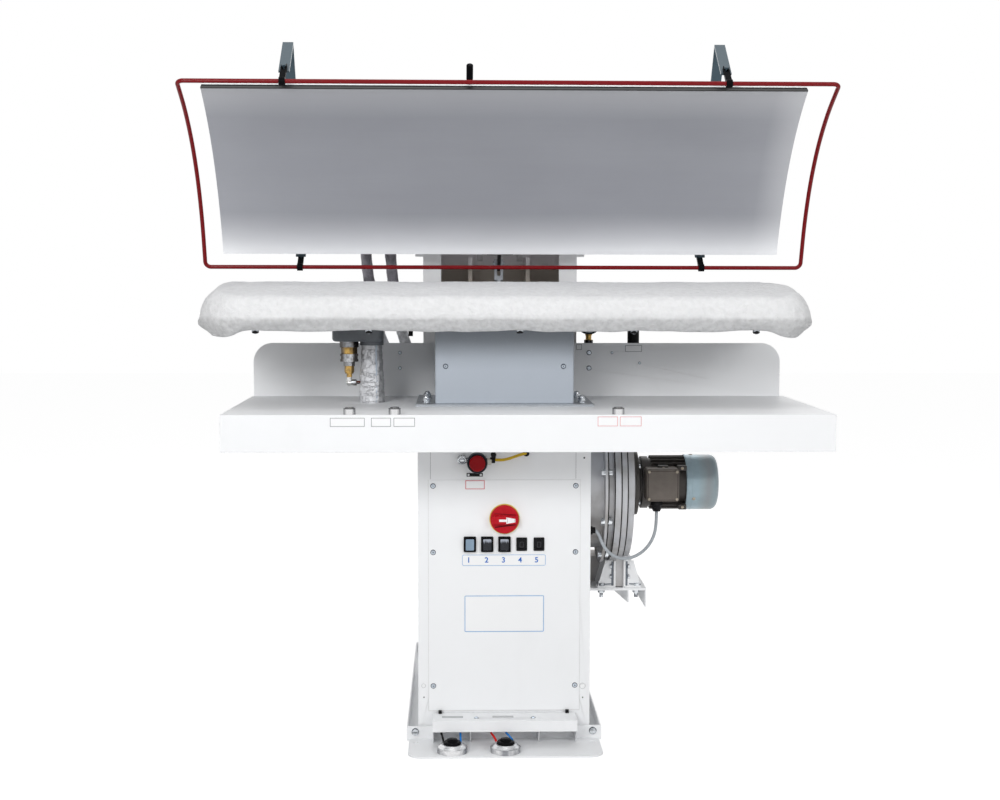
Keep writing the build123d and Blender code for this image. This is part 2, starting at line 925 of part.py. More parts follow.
def board_section(from_end, grow):
    """Cross-section of the board near an end, as a closed outline in (y, z)."""
    corner = board_plan_corner
    short = corner - min(from_end, corner)
    half = board_half_depth - corner + sqrt(corner ** 2 - short ** 2) + grow
    rounding = board_end_crown
    short = rounding - min(from_end, rounding)
    crown = board_crown_z - rounding + sqrt(rounding ** 2 - short ** 2) + grow
    edge_y = half - board_shoulder
    edge_z = crown - hollow_radius + sqrt(hollow_radius ** 2 - edge_y ** 2)
    side_z = board_side_z + grow
    bend = (half - 0.28 * board_shoulder, edge_z - 0.3 * (edge_z - side_z))
    low_z = board_bottom_z
    tuck_y = half - board_tuck
    tuck = (half - 0.28 * board_tuck, (side_z + low_z) / 2)
    top = ThreePointArc((-edge_y, edge_z), (0, crown), (edge_y, edge_z))
    right = ThreePointArc((edge_y, edge_z), bend, (half, side_z))
    right_tuck = ThreePointArc((half, side_z), tuck, (tuck_y, low_z))
    bottom = Line((tuck_y, low_z), (-tuck_y, low_z))
    left_tuck = ThreePointArc((-tuck_y, low_z), (-tuck[0], tuck[1]), (-half, side_z))
    left = ThreePointArc((-half, side_z), (-bend[0], bend[1]), (-edge_y, edge_z))
    edges = [line.edge() for line in (top, right, right_tuck, bottom, left_tuck, left)]
    return Wire(edges)


def board_form(half_length, grow):
    """Crowned board with rounded ends, lofted through its cross-sections."""
    from_ends = [share * board_plan_corner for share in (0.015, 0.06, 0.15, 0.3, 0.5, 0.72, 1.0)]
    stations = [from_end - half_length for from_end in from_ends]
    stations += [half_length - from_end for from_end in reversed(from_ends)]
    faces = []
    for x in stations:
        from_end = half_length - abs(x)
        plane = Plane(origin=(x, board_middle_y, 0), x_dir=(0, 1, 0), z_dir=(1, 0, 0))
        faces.append(plane * Face(board_section(from_end, grow)))
    return loft(faces, ruled=True)


def chest_form():
    """Outer shape of the metal board under the pad."""
    half_x = board_half_length - chest_end_inset
    half_y = board_half_depth - chest_side_inset
    corner = board_plan_corner - chest_end_inset
    outline = Pos(0, board_middle_y, board_bottom_z) * RectangleRounded(2 * half_x, 2 * half_y, corner)
    body = extrude(outline, board_crown_z - board_bottom_z)
    radius = hollow_radius - pad_thickness
    top = board_crown_z - pad_thickness
    return body & bar_x(radius, (-half_x - 1, half_x + 1), board_middle_y, top - radius)


def board_chest(outer):
    """Hollow metal board that feeds steam and draws air through its top."""
    half_x = board_half_length - chest_end_inset - chest_wall
    half_y = board_half_depth - chest_side_inset - chest_wall
    floor = board_bottom_z + chest_floor
    corner = board_plan_corner - chest_end_inset - chest_wall
    outline = Pos(0, board_middle_y, floor) * RectangleRounded(2 * half_x, 2 * half_y, corner)
    room = extrude(outline, board_crown_z - pad_thickness - chest_roof - floor)
    return outer - room - duct_core(board_bottom_z - 1, floor + 1)


def board_cover(outer):
    """Pad and cloth cover over the metal board, tucked in below."""
    return board_form(board_half_length, 0) - outer


def cover_hooks():
    """Round-headed hooks that hold the cover's cord, and a drain plug."""
    hooks = []
    y = board_middle_y - board_half_depth + chest_side_inset + chest_wall
    for x in hook_places:
        head = bar_z(hook_radius, x, y, (board_bottom_z - hook_height, board_bottom_z))
        hooks.append(fillet(head.edges().group_by(Axis.Z)[0], hook_edge))
    plug = bar_z(drain_radius, *drain_place, (board_bottom_z - drain_height, board_bottom_z))
    plug += bar_z(drain_stem_radius, *drain_place, (board_bottom_z - drain_reach, board_bottom_z))
    return hooks + [plug]


# Steam pieces

def steam_casting():
    """Cast steam valve body under the board, with a hub for the steam pipe."""
    body = block((casting_left, casting_right), (casting_front, casting_rear),
                 (casting_bottom, board_bottom_z))
    body = fillet(body.edges().filter_by(Axis.Z), casting_corner)
    body = fillet(body.edges().group_by(Axis.Z)[0], casting_edge)
    return body + bar_z(casting_hub_radius, sleeve_x, sleeve_y,
                        (casting_bottom - casting_hub, casting_bottom + casting_edge))


def fitting_stack():
    """Stack of hexagon fittings below the casting, with an elbow and a drain tube."""
    x, y = fitting_x, fitting_y
    z = casting_bottom
    body = bar_z(fitting_neck_radius, x, y, (z - 1, z))
    for across, height in fitting_hexagons:
        body += hexagon_z(across, x, y, (z - height, z))
        z -= height
    body += bar_z(coupling_radius, x, y, (z - coupling_height, z))
    z -= coupling_height
    for across, height in lower_hexagons:
        body += hexagon_z(across, x, y, (z - height, z))
        z -= height
    low = z - fitting_neck - elbow_radius
    body += bar_z(fitting_neck_radius, x, y, (low, z))
    body += Pos(x, y, low) * Sphere(elbow_radius)
    body += bar_x(elbow_radius - 1, (x, x + elbow_reach), y, low)
    return body + bar_x(drain_tube_radius, (x, sleeve_x - sleeve_radius), y, low)


def steam_sleeve():
    """Steam pipe from the cabinet's side, in a sleeve from below the tray up to the casting."""
    low = tray_top - tray_lip
    pipe_z = low + steam_pipe_rise
    foot = low + sleeve_low_rise
    body = bar_z(sleeve_radius, sleeve_x, sleeve_y, (foot, casting_bottom - casting_hub))
    body += bar_z(steam_pipe_radius, sleeve_x, sleeve_y, (pipe_z, foot + 1))
    body += Pos(sleeve_x, sleeve_y, pipe_z) * Sphere(steam_elbow_radius)
    return body + bar_x(steam_pipe_radius, (sleeve_x, -cabinet_half_width), sleeve_y, pipe_z)


def steam_manifold():
    """Steam manifold on the column's side, with two hose nipples."""
    body = block((manifold_left, -column_half_width),
                 (manifold_y - manifold_half_depth, manifold_y + manifold_half_depth),
                 (manifold_top - manifold_height, manifold_top))
    body = fillet(body.edges().filter_by(Axis.X), manifold_corner)
    nut_top = manifold_top + manifold_nut_height
    for x in manifold_places:
        body += hexagon_z(manifold_nut, x, manifold_y, (manifold_top - 1, nut_top))
        body += bar_z(nipple_radius, x, manifold_y, (nut_top - 1, nut_top + manifold_nipple))
    return body


def nipple_line(x, gap):
    """Steam nipple out of the head's rear slope, or its hole with a gap; head closed."""
    root = board_middle_y + head_half_depth - nipple_root
    return bar_y(nipple_radius + gap, x, (root, nipple_end_y), nipple_z)


def hose_route(top_x, low_x):
    """Route of one steam hose from the open head down to the manifold."""
    y, z = open_point(nipple_end_y, nipple_z)
    next_y, next_z = open_point(nipple_end_y + 50, nipple_z)
    low_z = manifold_top + manifold_nut_height + manifold_nipple
    span = low_x - top_x
    return [(top_x, y, z), (top_x, next_y, next_z),
            (top_x + 0.16 * span, y + 54.5, z - 93.5), (top_x + 0.42 * span, y + 57, z - 148),
            (top_x + 0.72 * span, y + 54, z - 200), (low_x, manifold_y, low_z + 36),
            (low_x, manifold_y, low_z)]


def steam_hoses():
    """Two flexible steam hoses between manifold and head."""
    left = hose_route(nipple_places[0], manifold_places[0])
    right = hose_route(nipple_places[1], manifold_places[1])
    return [tube(left, hose_radius, "steam hose left"), tube(right, hose_radius, "steam hose right")]


# Air pieces

def pressure_gauge():
    """Round pressure gauge on a brass neck."""
    front = gauge_y - gauge_depth / 2
    body = bar_y(gauge_radius, gauge_x, (front, front + gauge_depth), gauge_z)
    body = fillet(body.edges().filter_by(GeomType.CIRCLE), gauge_edge)
    body -= bar_y(gauge_radius - gauge_rim, gauge_x, (front - 1, front + gauge_recess), gauge_z)
    low = gauge_z - gauge_radius
    seat = low - gauge_neck
    body += bar_z(gauge_neck_radius, gauge_x, gauge_y, (seat, low + gauge_rim))
    return body + hexagon_z(gauge_nut, gauge_x, gauge_y, (seat - gauge_nut_height, seat))


def air_preparation():
    """Pressure regulator and filter bowl behind the splash plate."""
    top = gauge_z - gauge_radius - gauge_neck - gauge_nut_height
    low = top - regulator_height
    regulator = block((gauge_x - regulator_half_width, gauge_x + regulator_half_width),
                      (tray_rear, gauge_y + regulator_rear), (low, top))
    regulator = fillet(regulator.edges().filter_by(Axis.Z), regulator_corner)
    regulator += bar_z(bowl_radius, gauge_x, gauge_y - bowl_setback, (low - bowl_height, low + 1))
    filter_y = gauge_y - filter_setback
    bowl = bar_z(filter_radius, filter_x, filter_y, (tray_top + filter_low, tray_top + filter_high))
    carrier = block((filter_x - filter_block_left, filter_x + filter_block_right), (tray_rear, filter_y),
                    (tray_top + filter_block_low, tray_top + filter_block_high))
    return [regulator, fillet(carrier.edges().filter_by(Axis.Z), filter_block_corner) + bowl]


def air_tube_route():
    """Short yellow tube from the stop valve to the panel."""
    y = cabinet_front - stop_outlet_depth
    x = stop_x + stop_outlet_reach
    end = stop_x + air_inlet_reach
    return [(x, y, stop_z + side_fitting_rise), (x + 13, y - 3, stop_z + 5.5),
            (x + 27, y - 4, stop_z + 8), (x + 41, y - 2.5, stop_z + 12.5),
            (x + 55, y + 2, stop_z + 17), (end, cabinet_front - air_inlet_depth, stop_z + air_inlet_rise)]


def air_tubes():
    """Pneumatic tubes in the open: one at the stop valve, four at the pedals."""
    tubes = [tube(air_tube_route(), air_tube_radius, "air tube")]
    for number, route in enumerate(pedal_tube_routes()):
        tubes.append(tube(route, pedal_tube_radius, "pedal tube " + str(number + 1)))
    return tubes


# Panel devices

def isolator_plate():
    """Round base plate of the main switch."""
    plate = bar_y(isolator_radius, 0, (panel_face - isolator_plate_wall, panel_face), isolator_z)
    bore = (panel_face - isolator_plate_wall - 1, panel_face + 1)
    return plate - bar_y(knob_shaft_radius + running_gap, 0, bore, isolator_z)


def isolator_knob():
    """Rotary handle with its shaft through the panel."""
    back = panel_face - isolator_plate_wall - isolator_gap
    face = back - isolator_disc
    disc = bar_y(isolator_radius - isolator_rim, 0, (face, back), isolator_z)
    disc = fillet(disc.edges().group_by(Axis.Y)[0], isolator_edge)
    depth = (face - isolator_grip_rise, face + 1)
    grip = block((-grip_half_length, grip_half_length), depth,
                 (isolator_z - grip_half_height, isolator_z + grip_half_height))
    grip = grip & bar_y(isolator_radius - isolator_grip_inset, 0, depth, isolator_z)
    return disc + grip + bar_y(knob_shaft_radius, 0, (back - 1, cabinet_front + knob_shaft_reach), isolator_z)


def rocker_frames():
    """Snap-in frames of the five rocker switches; those with a cover are larger."""
    frames = []
    for index in range(rocker_count):
        x = rocker_x(index)
        half_x, half_z = covered_frame if index < covered_rockers else plain_frame
        rim = block((x - half_x, x + half_x), (panel_face - frame_rim, panel_face),
                    (rocker_z - half_z, rocker_z + half_z))
        rim = fillet(rim.edges().filter_by(Axis.Y), frame_corner)
        half_x, half_z = frame_body
        rim += block((x - half_x, x + half_x), (panel_face - 1, panel_face + frame_depth),
                     (rocker_z - half_z, rocker_z + half_z))
        half_x, half_z = frame_room
        rim -= block((x - half_x, x + half_x), (panel_face - frame_rim - 1, panel_face + frame_room_depth),
                     (rocker_z - half_z, rocker_z + half_z))
        frames.append(rim)
    return frames


def rocker(index):
    """Rocker with two slanted halves, resting on its lower one."""
    x = rocker_x(index)
    pivot_y = panel_face + rocker_pivot_depth
    half = rocker_half_height
    outline = [(pivot_y - rocker_lip, rocker_z - half), (pivot_y - rocker_waist, rocker_z),
               (pivot_y - rocker_lip, rocker_z + half), (pivot_y + 1, rocker_z + half),
               (pivot_y + rocker_tail, rocker_z), (pivot_y + 1, rocker_z - half)]
    body = side_plate(outline, (x - rocker_half_width, x + rocker_half_width))
    return body.rotate(Axis((0, pivot_y, rocker_z), (1, 0, 0)), -rocker_tilt)


def rocker_covers():
    """Clear soft covers over the first three switches."""
    covers = []
    back = panel_face - frame_rim
    front = back - cover_rise
    half_x, half_z = cover_half
    inner_x, inner_z = half_x - cover_wall, half_z - cover_wall
    for index in range(covered_rockers):
        x = rocker_x(index)
        outer = block((x - half_x, x + half_x), (front, back), (rocker_z - half_z, rocker_z + half_z))
        outer = fillet(outer.edges().filter_by(Axis.Y) + outer.edges().group_by(Axis.Y)[0], cover_corner)
        covers.append(outer - block((x - inner_x, x + inner_x), (front + cover_front_wall, back + 1),
                                    (rocker_z - inner_z, rocker_z + inner_z)))
    return covers


def stop_valve():
    """Round body of the stop valve with its side fittings, and the inlet of its tube."""
    face = cabinet_front
    front = face - stop_body_depth
    well = front + stop_well_depth
    body = bar_y(stop_body_radius, stop_x, (front, face), stop_z)
    body -= bar_y(stop_well_radius, stop_x, (front - 1, well), stop_z)
    body -= bar_y(stop_stem_radius + stop_stem_gap, stop_x, (front, front + stop_stem_depth), stop_z)
    side_x = stop_x - side_fitting_reach
    side_y = face - side_fitting_depth
    side_z = stop_z + side_fitting_rise
    body += bar_x(side_pipe_radius, (side_x, stop_x - stop_well_radius - 1), side_y, side_z - 1)
    half = side_fitting_half
    body += bar_y(side_fitting_radius, side_x, (side_y - half, side_y + half), side_z)
    outlet_y = face - stop_outlet_depth
    nut_x = stop_x + stop_body_radius - 2
    nut_end = nut_x + stop_nut_length
    body += hexagon_x(stop_nut, (nut_x, nut_end), outlet_y, stop_z + stop_nut_rise)
    body += bar_x(stop_outlet_radius, (nut_end - 1, stop_x + stop_outlet_reach), outlet_y, side_z)
    inlet = bar_y(air_inlet_radius, stop_x + air_inlet_reach, (face - air_inlet_depth, face),
                  stop_z + air_inlet_rise)
    return [body, inlet]


def stop_button():
    """Red palm button of the stop valve."""
    front = cabinet_front - stop_body_depth
    well = front + stop_well_depth
    body = bar_y(stop_button_radius, stop_x, (front - stop_button_rise, well - stop_travel - 0.5), stop_z)
    body = fillet(body.edges().group_by(Axis.Y)[0], stop_button_edge)
    return body + bar_y(stop_stem_radius, stop_x, (front, front + stop_stem_depth - stop_travel - 1), stop_z)


# Blower

def fan_bar(radius, low, high):
    """A round bar about the blower's axis."""
    return bar_x(radius, (low, high), fan_y, fan_z)


def inlet_casing():
    """Inlet side of the scroll: a drum from the cabinet and a flat rim."""
    body = fan_bar(inlet_radius, cabinet_half_width, scroll_left + 1)
    body += fan_bar(rim_radius, scroll_left, rim_right - rim_width / 2)
    return body - fan_bar(blower_port_radius, cabinet_half_width - 1, rim_right)


def scroll_casing():
    """Turned and stepped main half with its outlet, exhaust spout and lug."""
    rim_left = rim_right - rim_width / 2
    body = fan_bar(rim_radius, rim_left, rim_right) + fan_bar(waist_radius, rim_left, steps_left + 1)
    x = steps_left
    for radius, width in scroll_steps:
        body += fan_bar(radius, x, x + width)
        x += width
    body += fan_bar(boss_radius, scroll_right - 1, scroll_right + boss_length)
    outlet_x = (rim_right + scroll_wall, scroll_right - scroll_wall)
    outlet_top = fan_z + waist_radius + outlet_wall
    outlet_end = fan_y + outlet_reach
    body += block(outlet_x, (fan_y, outlet_end), (outlet_top - outlet_height, outlet_top))
    grow = outlet_flange_reach
    body += block((outlet_x[0] - grow, outlet_x[1] + grow), (outlet_end - outlet_flange, outlet_end),
                  (outlet_top - outlet_height - grow, outlet_top + grow))
    spout_top = shelf_top + spout_height
    depth = (spout_front, spout_rear)
    body += block((cabinet_half_width, steps_left - 1), depth, (shelf_top, spout_top))
    body += block((rim_right, steps_left - 1), depth, (spout_top - 1, spout_top + spout_neck))
    lug_top = fan_z - scroll_steps[0][0] + lug_overlap
    body += block((lug_left, lug_right), (fan_y - lug_half_depth, fan_y + lug_half_depth),
                  (shelf_top + lug_lift, lug_top))
    room_left = rim_left - 1
    room_right = scroll_right - scroll_wall
    body -= fan_bar(wheel_radius + wheel_tip_gap, room_left, room_right)
    body -= fan_bar(shaft_hole_radius, room_right - 1, scroll_right + boss_length + 1)
    wall = outlet_wall
    return body - block((outlet_x[0] + wall, outlet_x[1] - wall), (fan_y + outlet_start, outlet_end + 1),
                        (outlet_top - outlet_height + wall, outlet_top - wall))


def blade_outline(turn):
    """One curved blade of the wheel, seen along its axis."""
    inner, outer = blade_root, wheel_radius - blade_tip_inset
    start, middle, end = radians(turn), radians(turn - blade_lean), radians(turn - blade_sweep)
    bow = (inner + outer) / 2 + blade_bow

    def edge(radius, angle, side):
        """A point on the blade's face, or on its back when side is the wall."""
        return (radius * cos(angle) + side * sin(angle), radius * sin(angle) - side * cos(angle))

    face = [edge(inner, start, 0), edge(bow, middle, 0), edge(outer, end, 0)]
    back = [edge(outer, end, blade_wall), edge(bow, middle, blade_wall), edge(inner, start, blade_wall)]
    return make_face(ThreePointArc(*face) + Line(face[2], back[0]) + ThreePointArc(*back)
                     + Line(back[2], face[0]))


def fan_impeller():
    """Vacuum wheel with curved blades on the motor's shaft."""
    left = rim_right - rim_width / 2 + wheel_gap
    right = scroll_right - scroll_wall - wheel_gap
    body = fan_bar(wheel_radius, right - wheel_back, right)
    body += fan_bar(wheel_hub_radius, left + wheel_hub_inset, right)
    plane = Plane(origin=(left, fan_y, fan_z), x_dir=(0, 1, 0), z_dir=(1, 0, 0))
    for number in range(blade_count):
        body += extrude(plane * blade_outline(number * 360 / blade_count), right - left - 1)
    return body + fan_bar(fan_shaft_radius, right - 1, shield_right)


def motor_body():
    """Finned motor body with its round flange and end shield."""
    body = fan_bar(motor_flange_radius, motor_left - motor_flange, motor_left)
    neck_right = motor_left + motor_neck
    body += fan_bar(motor_neck_radius, motor_left - 1, neck_right + 1)
    body += fan_bar(motor_shield_radius, neck_right, shield_right)
    body += fan_bar(motor_radius, shield_right - 1, motor_right)
    fins = []
    for number in range(fin_count):
        turn = number * 360 / fin_count
        if abs(turn - 180) < terminal_half_angle:
            continue
        fin = block((shield_right + fin_end_gap, motor_right - cowl_lap),
                    (motor_radius - 2, motor_radius + fin_height), (-fin_wall / 2, fin_wall / 2))
        fins.append(Pos(0, fan_y, fan_z) * Rot(turn, 0, 0) * fin)
    body = body.fuse(*fins)
    body += fan_bar(motor_cowl_radius - cowl_wall, motor_right - cowl_lap, motor_right)
    return body - fan_bar(fan_shaft_radius + running_gap, motor_left - motor_flange - 1, shield_right + 1)


def motor_cowl():
    """Round steel cowl over the motor's own fan."""
    body = fan_bar(motor_cowl_radius, motor_right - cowl_lap, cowl_right)
    body = fillet(body.edges().group_by(Axis.X)[-1], cowl_edge)
    body -= fan_bar(motor_cowl_radius - cowl_wall, motor_right - cowl_lap - 1, cowl_right - cowl_edge)
    slot = block((cowl_right - cowl_edge - 1, cowl_right + 1), cowl_slot,
                 (-cowl_slot_half_width, cowl_slot_half_width))
    for number in range(cowl_slot_count):
        body -= Pos(0, fan_y, fan_z) * Rot(number * 360 / cowl_slot_count, 0, 0) * slot
    return body


def terminal_box():
    """Terminal box on the motor's front side."""
    x = (terminal_x, terminal_x + terminal_width)
    z = (fan_z - terminal_low, fan_z + terminal_high)
    inset = terminal_lid_inset
    back = terminal_front + terminal_lid
    body = block(x, (back, fan_y - motor_radius / 2), z)
    body = fillet(body.edges().filter_by(Axis.Y), terminal_corner)
    body -= fan_bar(motor_radius, shield_right - 1, motor_right)
    body -= fan_bar(motor_shield_radius, motor_left, shield_right)
    lid = block((x[0] + inset, x[1] - inset), (terminal_front, back), (z[0] + inset, z[1] - inset))
    return body + chamfer(lid.edges().filter_by(Axis.Y), terminal_lid_corner)


def cable_glands():
    """Gland under the terminal box and gland in the cabinet's side."""
    top = gland_top
    first = bar_z(gland_radius, gland_x, gland_y, (top - gland_nut, top))
    first += bar_z(gland_tip_radius, gland_x, gland_y, (top - gland_length, top - gland_nut + 1))
    side = cabinet_half_width
    second = bar_x(cabinet_gland_radius, (side, side + cabinet_gland_nut), cabinet_gland_y, cabinet_gland_z)
    second += bar_x(cabinet_gland_tip_radius, (side + cabinet_gland_nut - 1, side + cabinet_gland_length),
                    cabinet_gland_y, cabinet_gland_z)
    return [first, second]


def motor_cable_route():
    """Cable from the terminal box down past the scroll into the cabinet."""
    end = cabinet_half_width + cabinet_gland_length
    return [(gland_x, gland_y, gland_top - gland_length), (325, -236, 428), (316, -246, 402),
            (297, -264, 382), (271, -284, 371), (243, -300, 371), (219, -309, 383), (203, -309, 404),
            (197, -304, 424), (end, cabinet_gland_y, cabinet_gland_z)]


def support_shelf():
    """Folded shelf on the sides of cabinet and column, with a gusset and a right flange."""
    under = shelf_top - shelf_wall
    side = cabinet_half_width
    low = shelf_top - shelf_side_height
    depth = (shelf_front, shelf_rear)
    body = block((side, shelf_right), depth, (under, shelf_top))
    body += block((side, side + shelf_plate), depth, (low, under + 1))
    body += block((column_half_width, side + 1), (column_front, shelf_rear), (low, shelf_top))
    body += block((shelf_right - shelf_plate, shelf_right), depth, (shelf_top - shelf_flange, under + 1))
    gusset_x = shelf_right - gusset_inset
    gusset = [(shelf_front, under + 1), (shelf_front, shelf_top - gusset_front),
              (shelf_rear, shelf_top - gusset_rear), (shelf_rear, under + 1)]
    return body + side_plate(gusset, (gusset_x - shelf_plate, gusset_x))


def support_foot(face, out):
    """One angle foot beside the scroll's lug, with a triangular web in front and behind."""
    leg = face + out * foot_leg_wall
    tip = face + out * foot_plate_reach
    depth = (fan_y - foot_half_depth, fan_y + foot_half_depth)
    plate_top = shelf_top + foot_plate_wall
    web_top = shelf_top + foot_web_rise
    body = block(sorted((face, tip)), depth, (shelf_top, plate_top))
    body += block(sorted((face, leg)), depth, (shelf_top, web_top))
    web = [(tip, plate_top - 1), (face + out * foot_web_top, web_top), (face, web_top), (face, plate_top - 1)]
    for y in (depth[0], depth[1] - foot_web_wall):
        body += front_plate(web, (y, y + foot_web_wall))
    return body - fan_bar(scroll_steps[0][0] + foot_gap, cabinet_half_width, shelf_right)


def fan_support():
    """Shelf on the cabinet's side and two angle feet."""
    return [support_shelf(), support_foot(lug_left, -1), support_foot(lug_right, 1)]


# Head, drawn closed

def plate_face(low, high, half):
    """Band between two concentric arcs over the board, as a (y, z) face."""
    centre = board_crown_z + press_gap - hollow_radius

    def point(radius, y):
        """A point of the band's edge, y away from the middle."""
        return (board_middle_y + y, centre + sqrt(radius ** 2 - y ** 2))

    near, far = hollow_radius + low, hollow_radius + high
    lower = ThreePointArc(point(near, -half), point(near, 0), point(near, half))
    upper = ThreePointArc(point(far, half), point(far, 0), point(far, -half))
    return make_face(lower + Line(lower @ 1, upper @ 0) + upper + Line(upper @ 1, lower @ 0))


def curved_band(low, high, half_depth, half_length):
    """Curved sheet of constant thickness along the head."""
    return extrude(Plane.YZ.offset(-half_length) * plate_face(low, high, half_depth), 2 * half_length)


def hollow_core(radius):
    """Round bar that fills the head's hollow out to a radius."""
    reach = head_half_length + 1
    return bar_x(radius, (-reach, reach), board_middle_y, board_crown_z + press_gap - hollow_radius)


def head_plate():
    """Polished hollow plate that meets the board."""
    return curved_band(0, plate_thickness, head_half_depth, head_half_length)


def head_gasket():
    """Seal in four strips round the back of the polished plate."""
    half_x = head_half_length - gasket_edge
    half_y = head_half_depth - gasket_edge
    inner_x = head_half_length - gasket_width
    inner_y = head_half_depth - gasket_width
    band = curved_band(plate_thickness, plate_thickness + gasket_thickness, half_y, half_x)
    height = (board_crown_z - head_half_depth, head_chest_top)
    strips = []
    for sign in (-1, 1):
        across = sorted((sign * inner_x, sign * (half_x + 1)))
        full_depth = (board_middle_y - half_y - 1, board_middle_y + half_y + 1)
        strips.append(band & block(across, full_depth, height))
        depth = sorted((board_middle_y + sign * inner_y, board_middle_y + sign * (half_y + 1)))
        strips.append(band & block((-inner_x, inner_x), depth, height))
    return strips


def cover_solid(inset):
    """Solid of the head's cover, pulled in by a wall thickness."""
    front = board_middle_y - head_half_depth + inset + cover_edge
    rear = board_middle_y + head_half_depth - inset - cover_edge
    seat = board_crown_z - cover_seat_height
    top = head_cover_top - inset
    shoulder = board_crown_z + cover_side_height - cover_seat_height
    outline = [(front, seat), (front, shoulder), (front + head_front_slope, top),
               (rear - head_rear_slope, top), (rear, shoulder), (rear, seat)]
    half = head_half_length - inset - cover_edge
    body = side_plate(outline, (-half, half))
    slope = half - head_end_slope
    wedge = [(half, shoulder), (half + 1, shoulder), (half + 1, top + 1), (slope, top + 1), (slope, top)]
    cut = front_plate(wedge, (front - 1, rear + 1))
    return body - cut - mirror(cut, Plane.YZ)


def head_chest():
    """Heated casting on the plate, with its two steam nipples."""
    half_x = head_half_length - gasket_width - chest_seat_margin
    half_y = head_half_depth - gasket_width - chest_seat_margin
    body = block((-half_x, half_x), (board_middle_y - half_y, board_middle_y + half_y),
                 (board_crown_z - cover_seat_height - cover_side_height, head_chest_top))
    body -= hollow_core(hollow_radius + plate_thickness)
    body &= cover_solid(sheet + chest_clearance)
    for x in nipple_places:
        body += nipple_line(x, 0)
    return body


def head_cover():
    """Sheet cover over the back of the head."""
    body = cover_solid(0) - cover_solid(sheet)
    body -= hollow_core(hollow_radius + plate_thickness + gasket_thickness)
    for x in nipple_places:
        body -= nipple_line(x, nipple_gap)
    return body


def slotted_lever():
    """Lever from the hub to the rear, with a slot for the clevis pin."""
    half_swing = head_opening / 2
    half_slot = pin_radius + slot_play
    half_wall = half_slot + lever_rim
    near = cylinder_y - slot_near_play
    far = hinge_y + lever_reach / cos(radians(half_swing)) + slot_far_play
    tip = far + half_wall - fork_play * fork_wall
    outline = [(hinge_y, hinge_z - lever_root), (near, hinge_z - half_wall), (far, hinge_z - half_wall),
               (tip, hinge_z - half_wall / 2), (tip, hinge_z + half_wall / 2), (far, hinge_z + half_wall),
               (near, hinge_z + half_wall), (hinge_y, hinge_z + lever_root)]
    lever = side_plate(outline, (-lever_wall / 2, lever_wall / 2))
    through = (-lever_wall, lever_wall)
    lever -= bar_x(half_slot, through, near, hinge_z) + bar_x(half_slot, through, far, hinge_z)
    lever -= block(through, (near, far), (hinge_z - half_slot, hinge_z + half_slot))
    return lever.rotate(Axis((0, hinge_y, hinge_z), (1, 0, 0)), half_swing)


def head_yoke():
    """Welded yoke: two arms, the hinge shaft, its hub and the slotted lever."""
    top = head_cover_top
    arm_top = top + arm_height
    crest_y, throat_y = hinge_y - hub_radius, hinge_y - arm_throat
    profile = [(arm_front, top), (arm_front + arm_nose, top + arm_nose), (arm_front + arm_rise, arm_top),
               (crest_y, arm_top), (hinge_y, hinge_z + hub_radius - 1), (hinge_y, hinge_z - hub_radius + 1),
               (throat_y, top - arm_throat_drop), (throat_y - hub_radius, top)]
    arm = side_plate(profile, (arm_x, arm_x + arm_wall))
    arm += bar_x(hub_radius, (arm_x, arm_x + arm_wall), hinge_y, hinge_z)
    arm += block((arm_x - arm_foot_inner, arm_x + arm_foot_outer), (arm_foot_front, arm_foot_rear),
                 (top, top + arm_foot_thickness))
    body = arm + mirror(arm, Plane.YZ)
    reach = column_half_width + bearing_width + shaft_overhang
    body += bar_x(hinge_shaft_radius, (-reach, reach), hinge_y, hinge_z)
    body += bar_x(hub_core_radius, (-arm_x, arm_x), hinge_y, hinge_z)
    return body + slotted_lever()


def head_grip():
    """Black pull grip on a short stem at the head's front edge."""
    z = board_crown_z - grip_drop
    front = board_middle_y - head_half_depth + cover_edge
    grip = bar_y(grip_radius, grip_x, (front - grip_end, front - grip_start), z)
    grip = fillet(grip.edges().filter_by(GeomType.CIRCLE), grip_edge)
    return grip + bar_y(grip_stem_radius, grip_x, (front - grip_start - 1, front), z)


def strap_across(sign):
    """The two sides of a strap along the head."""
    return (sign * strap_x - strap_width / 2, sign * strap_x + strap_width / 2)


def front_strap(sign):
    """One front strap: foot on the cover, reach out, leg down to the clip."""
    out = guard_front_y + clip_wall / 2 + slide_gap
    top = head_cover_top
    end_z = guard_front_z + strap_front_end
    bend, rear = strap_front_foot
    outline = [(rear, top), (rear, top + strap_wall), (bend, top + strap_wall),
               (out + strap_wall, top + strap_lift), (out, top + strap_lift), (out, end_z),
               (out + strap_wall, end_z), (out + strap_wall, top + strap_lift - strap_wall),
               (bend + 3, top)]
    return side_plate(outline, strap_across(sign))


def rear_strap(sign):
    """One rear strap: foot on the cover, over the slope, leg down to the clip."""
    out = guard_rear_y - clip_wall / 2 - slide_gap
    top = head_cover_top
    end_z = guard_rear_z + strap_rear_end
    wall = strap_wall
    outline = [(strap_rear_foot, top), (strap_rear_foot, top + wall), (out, top + wall), (out, end_z),
               (out - wall, end_z), (out - wall, top)]
    return side_plate(outline, strap_across(sign))


def guide_bolt(sign, guard_y, rise, guard_z, out):
    """Guide bolt from a strap through a clip's slot; out is the way it points."""
    root = guard_y - out * (clip_wall / 2 + slide_gap)
    tip = root + out * (clip_wall + 2 * slide_gap + guide_head)
    neck = tip - out * guide_head
    z = guard_z + rise
    x = sign * strap_x
    bolt = bar_y(guide_radius, x, sorted((root, tip)), z)
    return bolt + bar_y(guide_head_radius, x, sorted((neck, tip)), z)


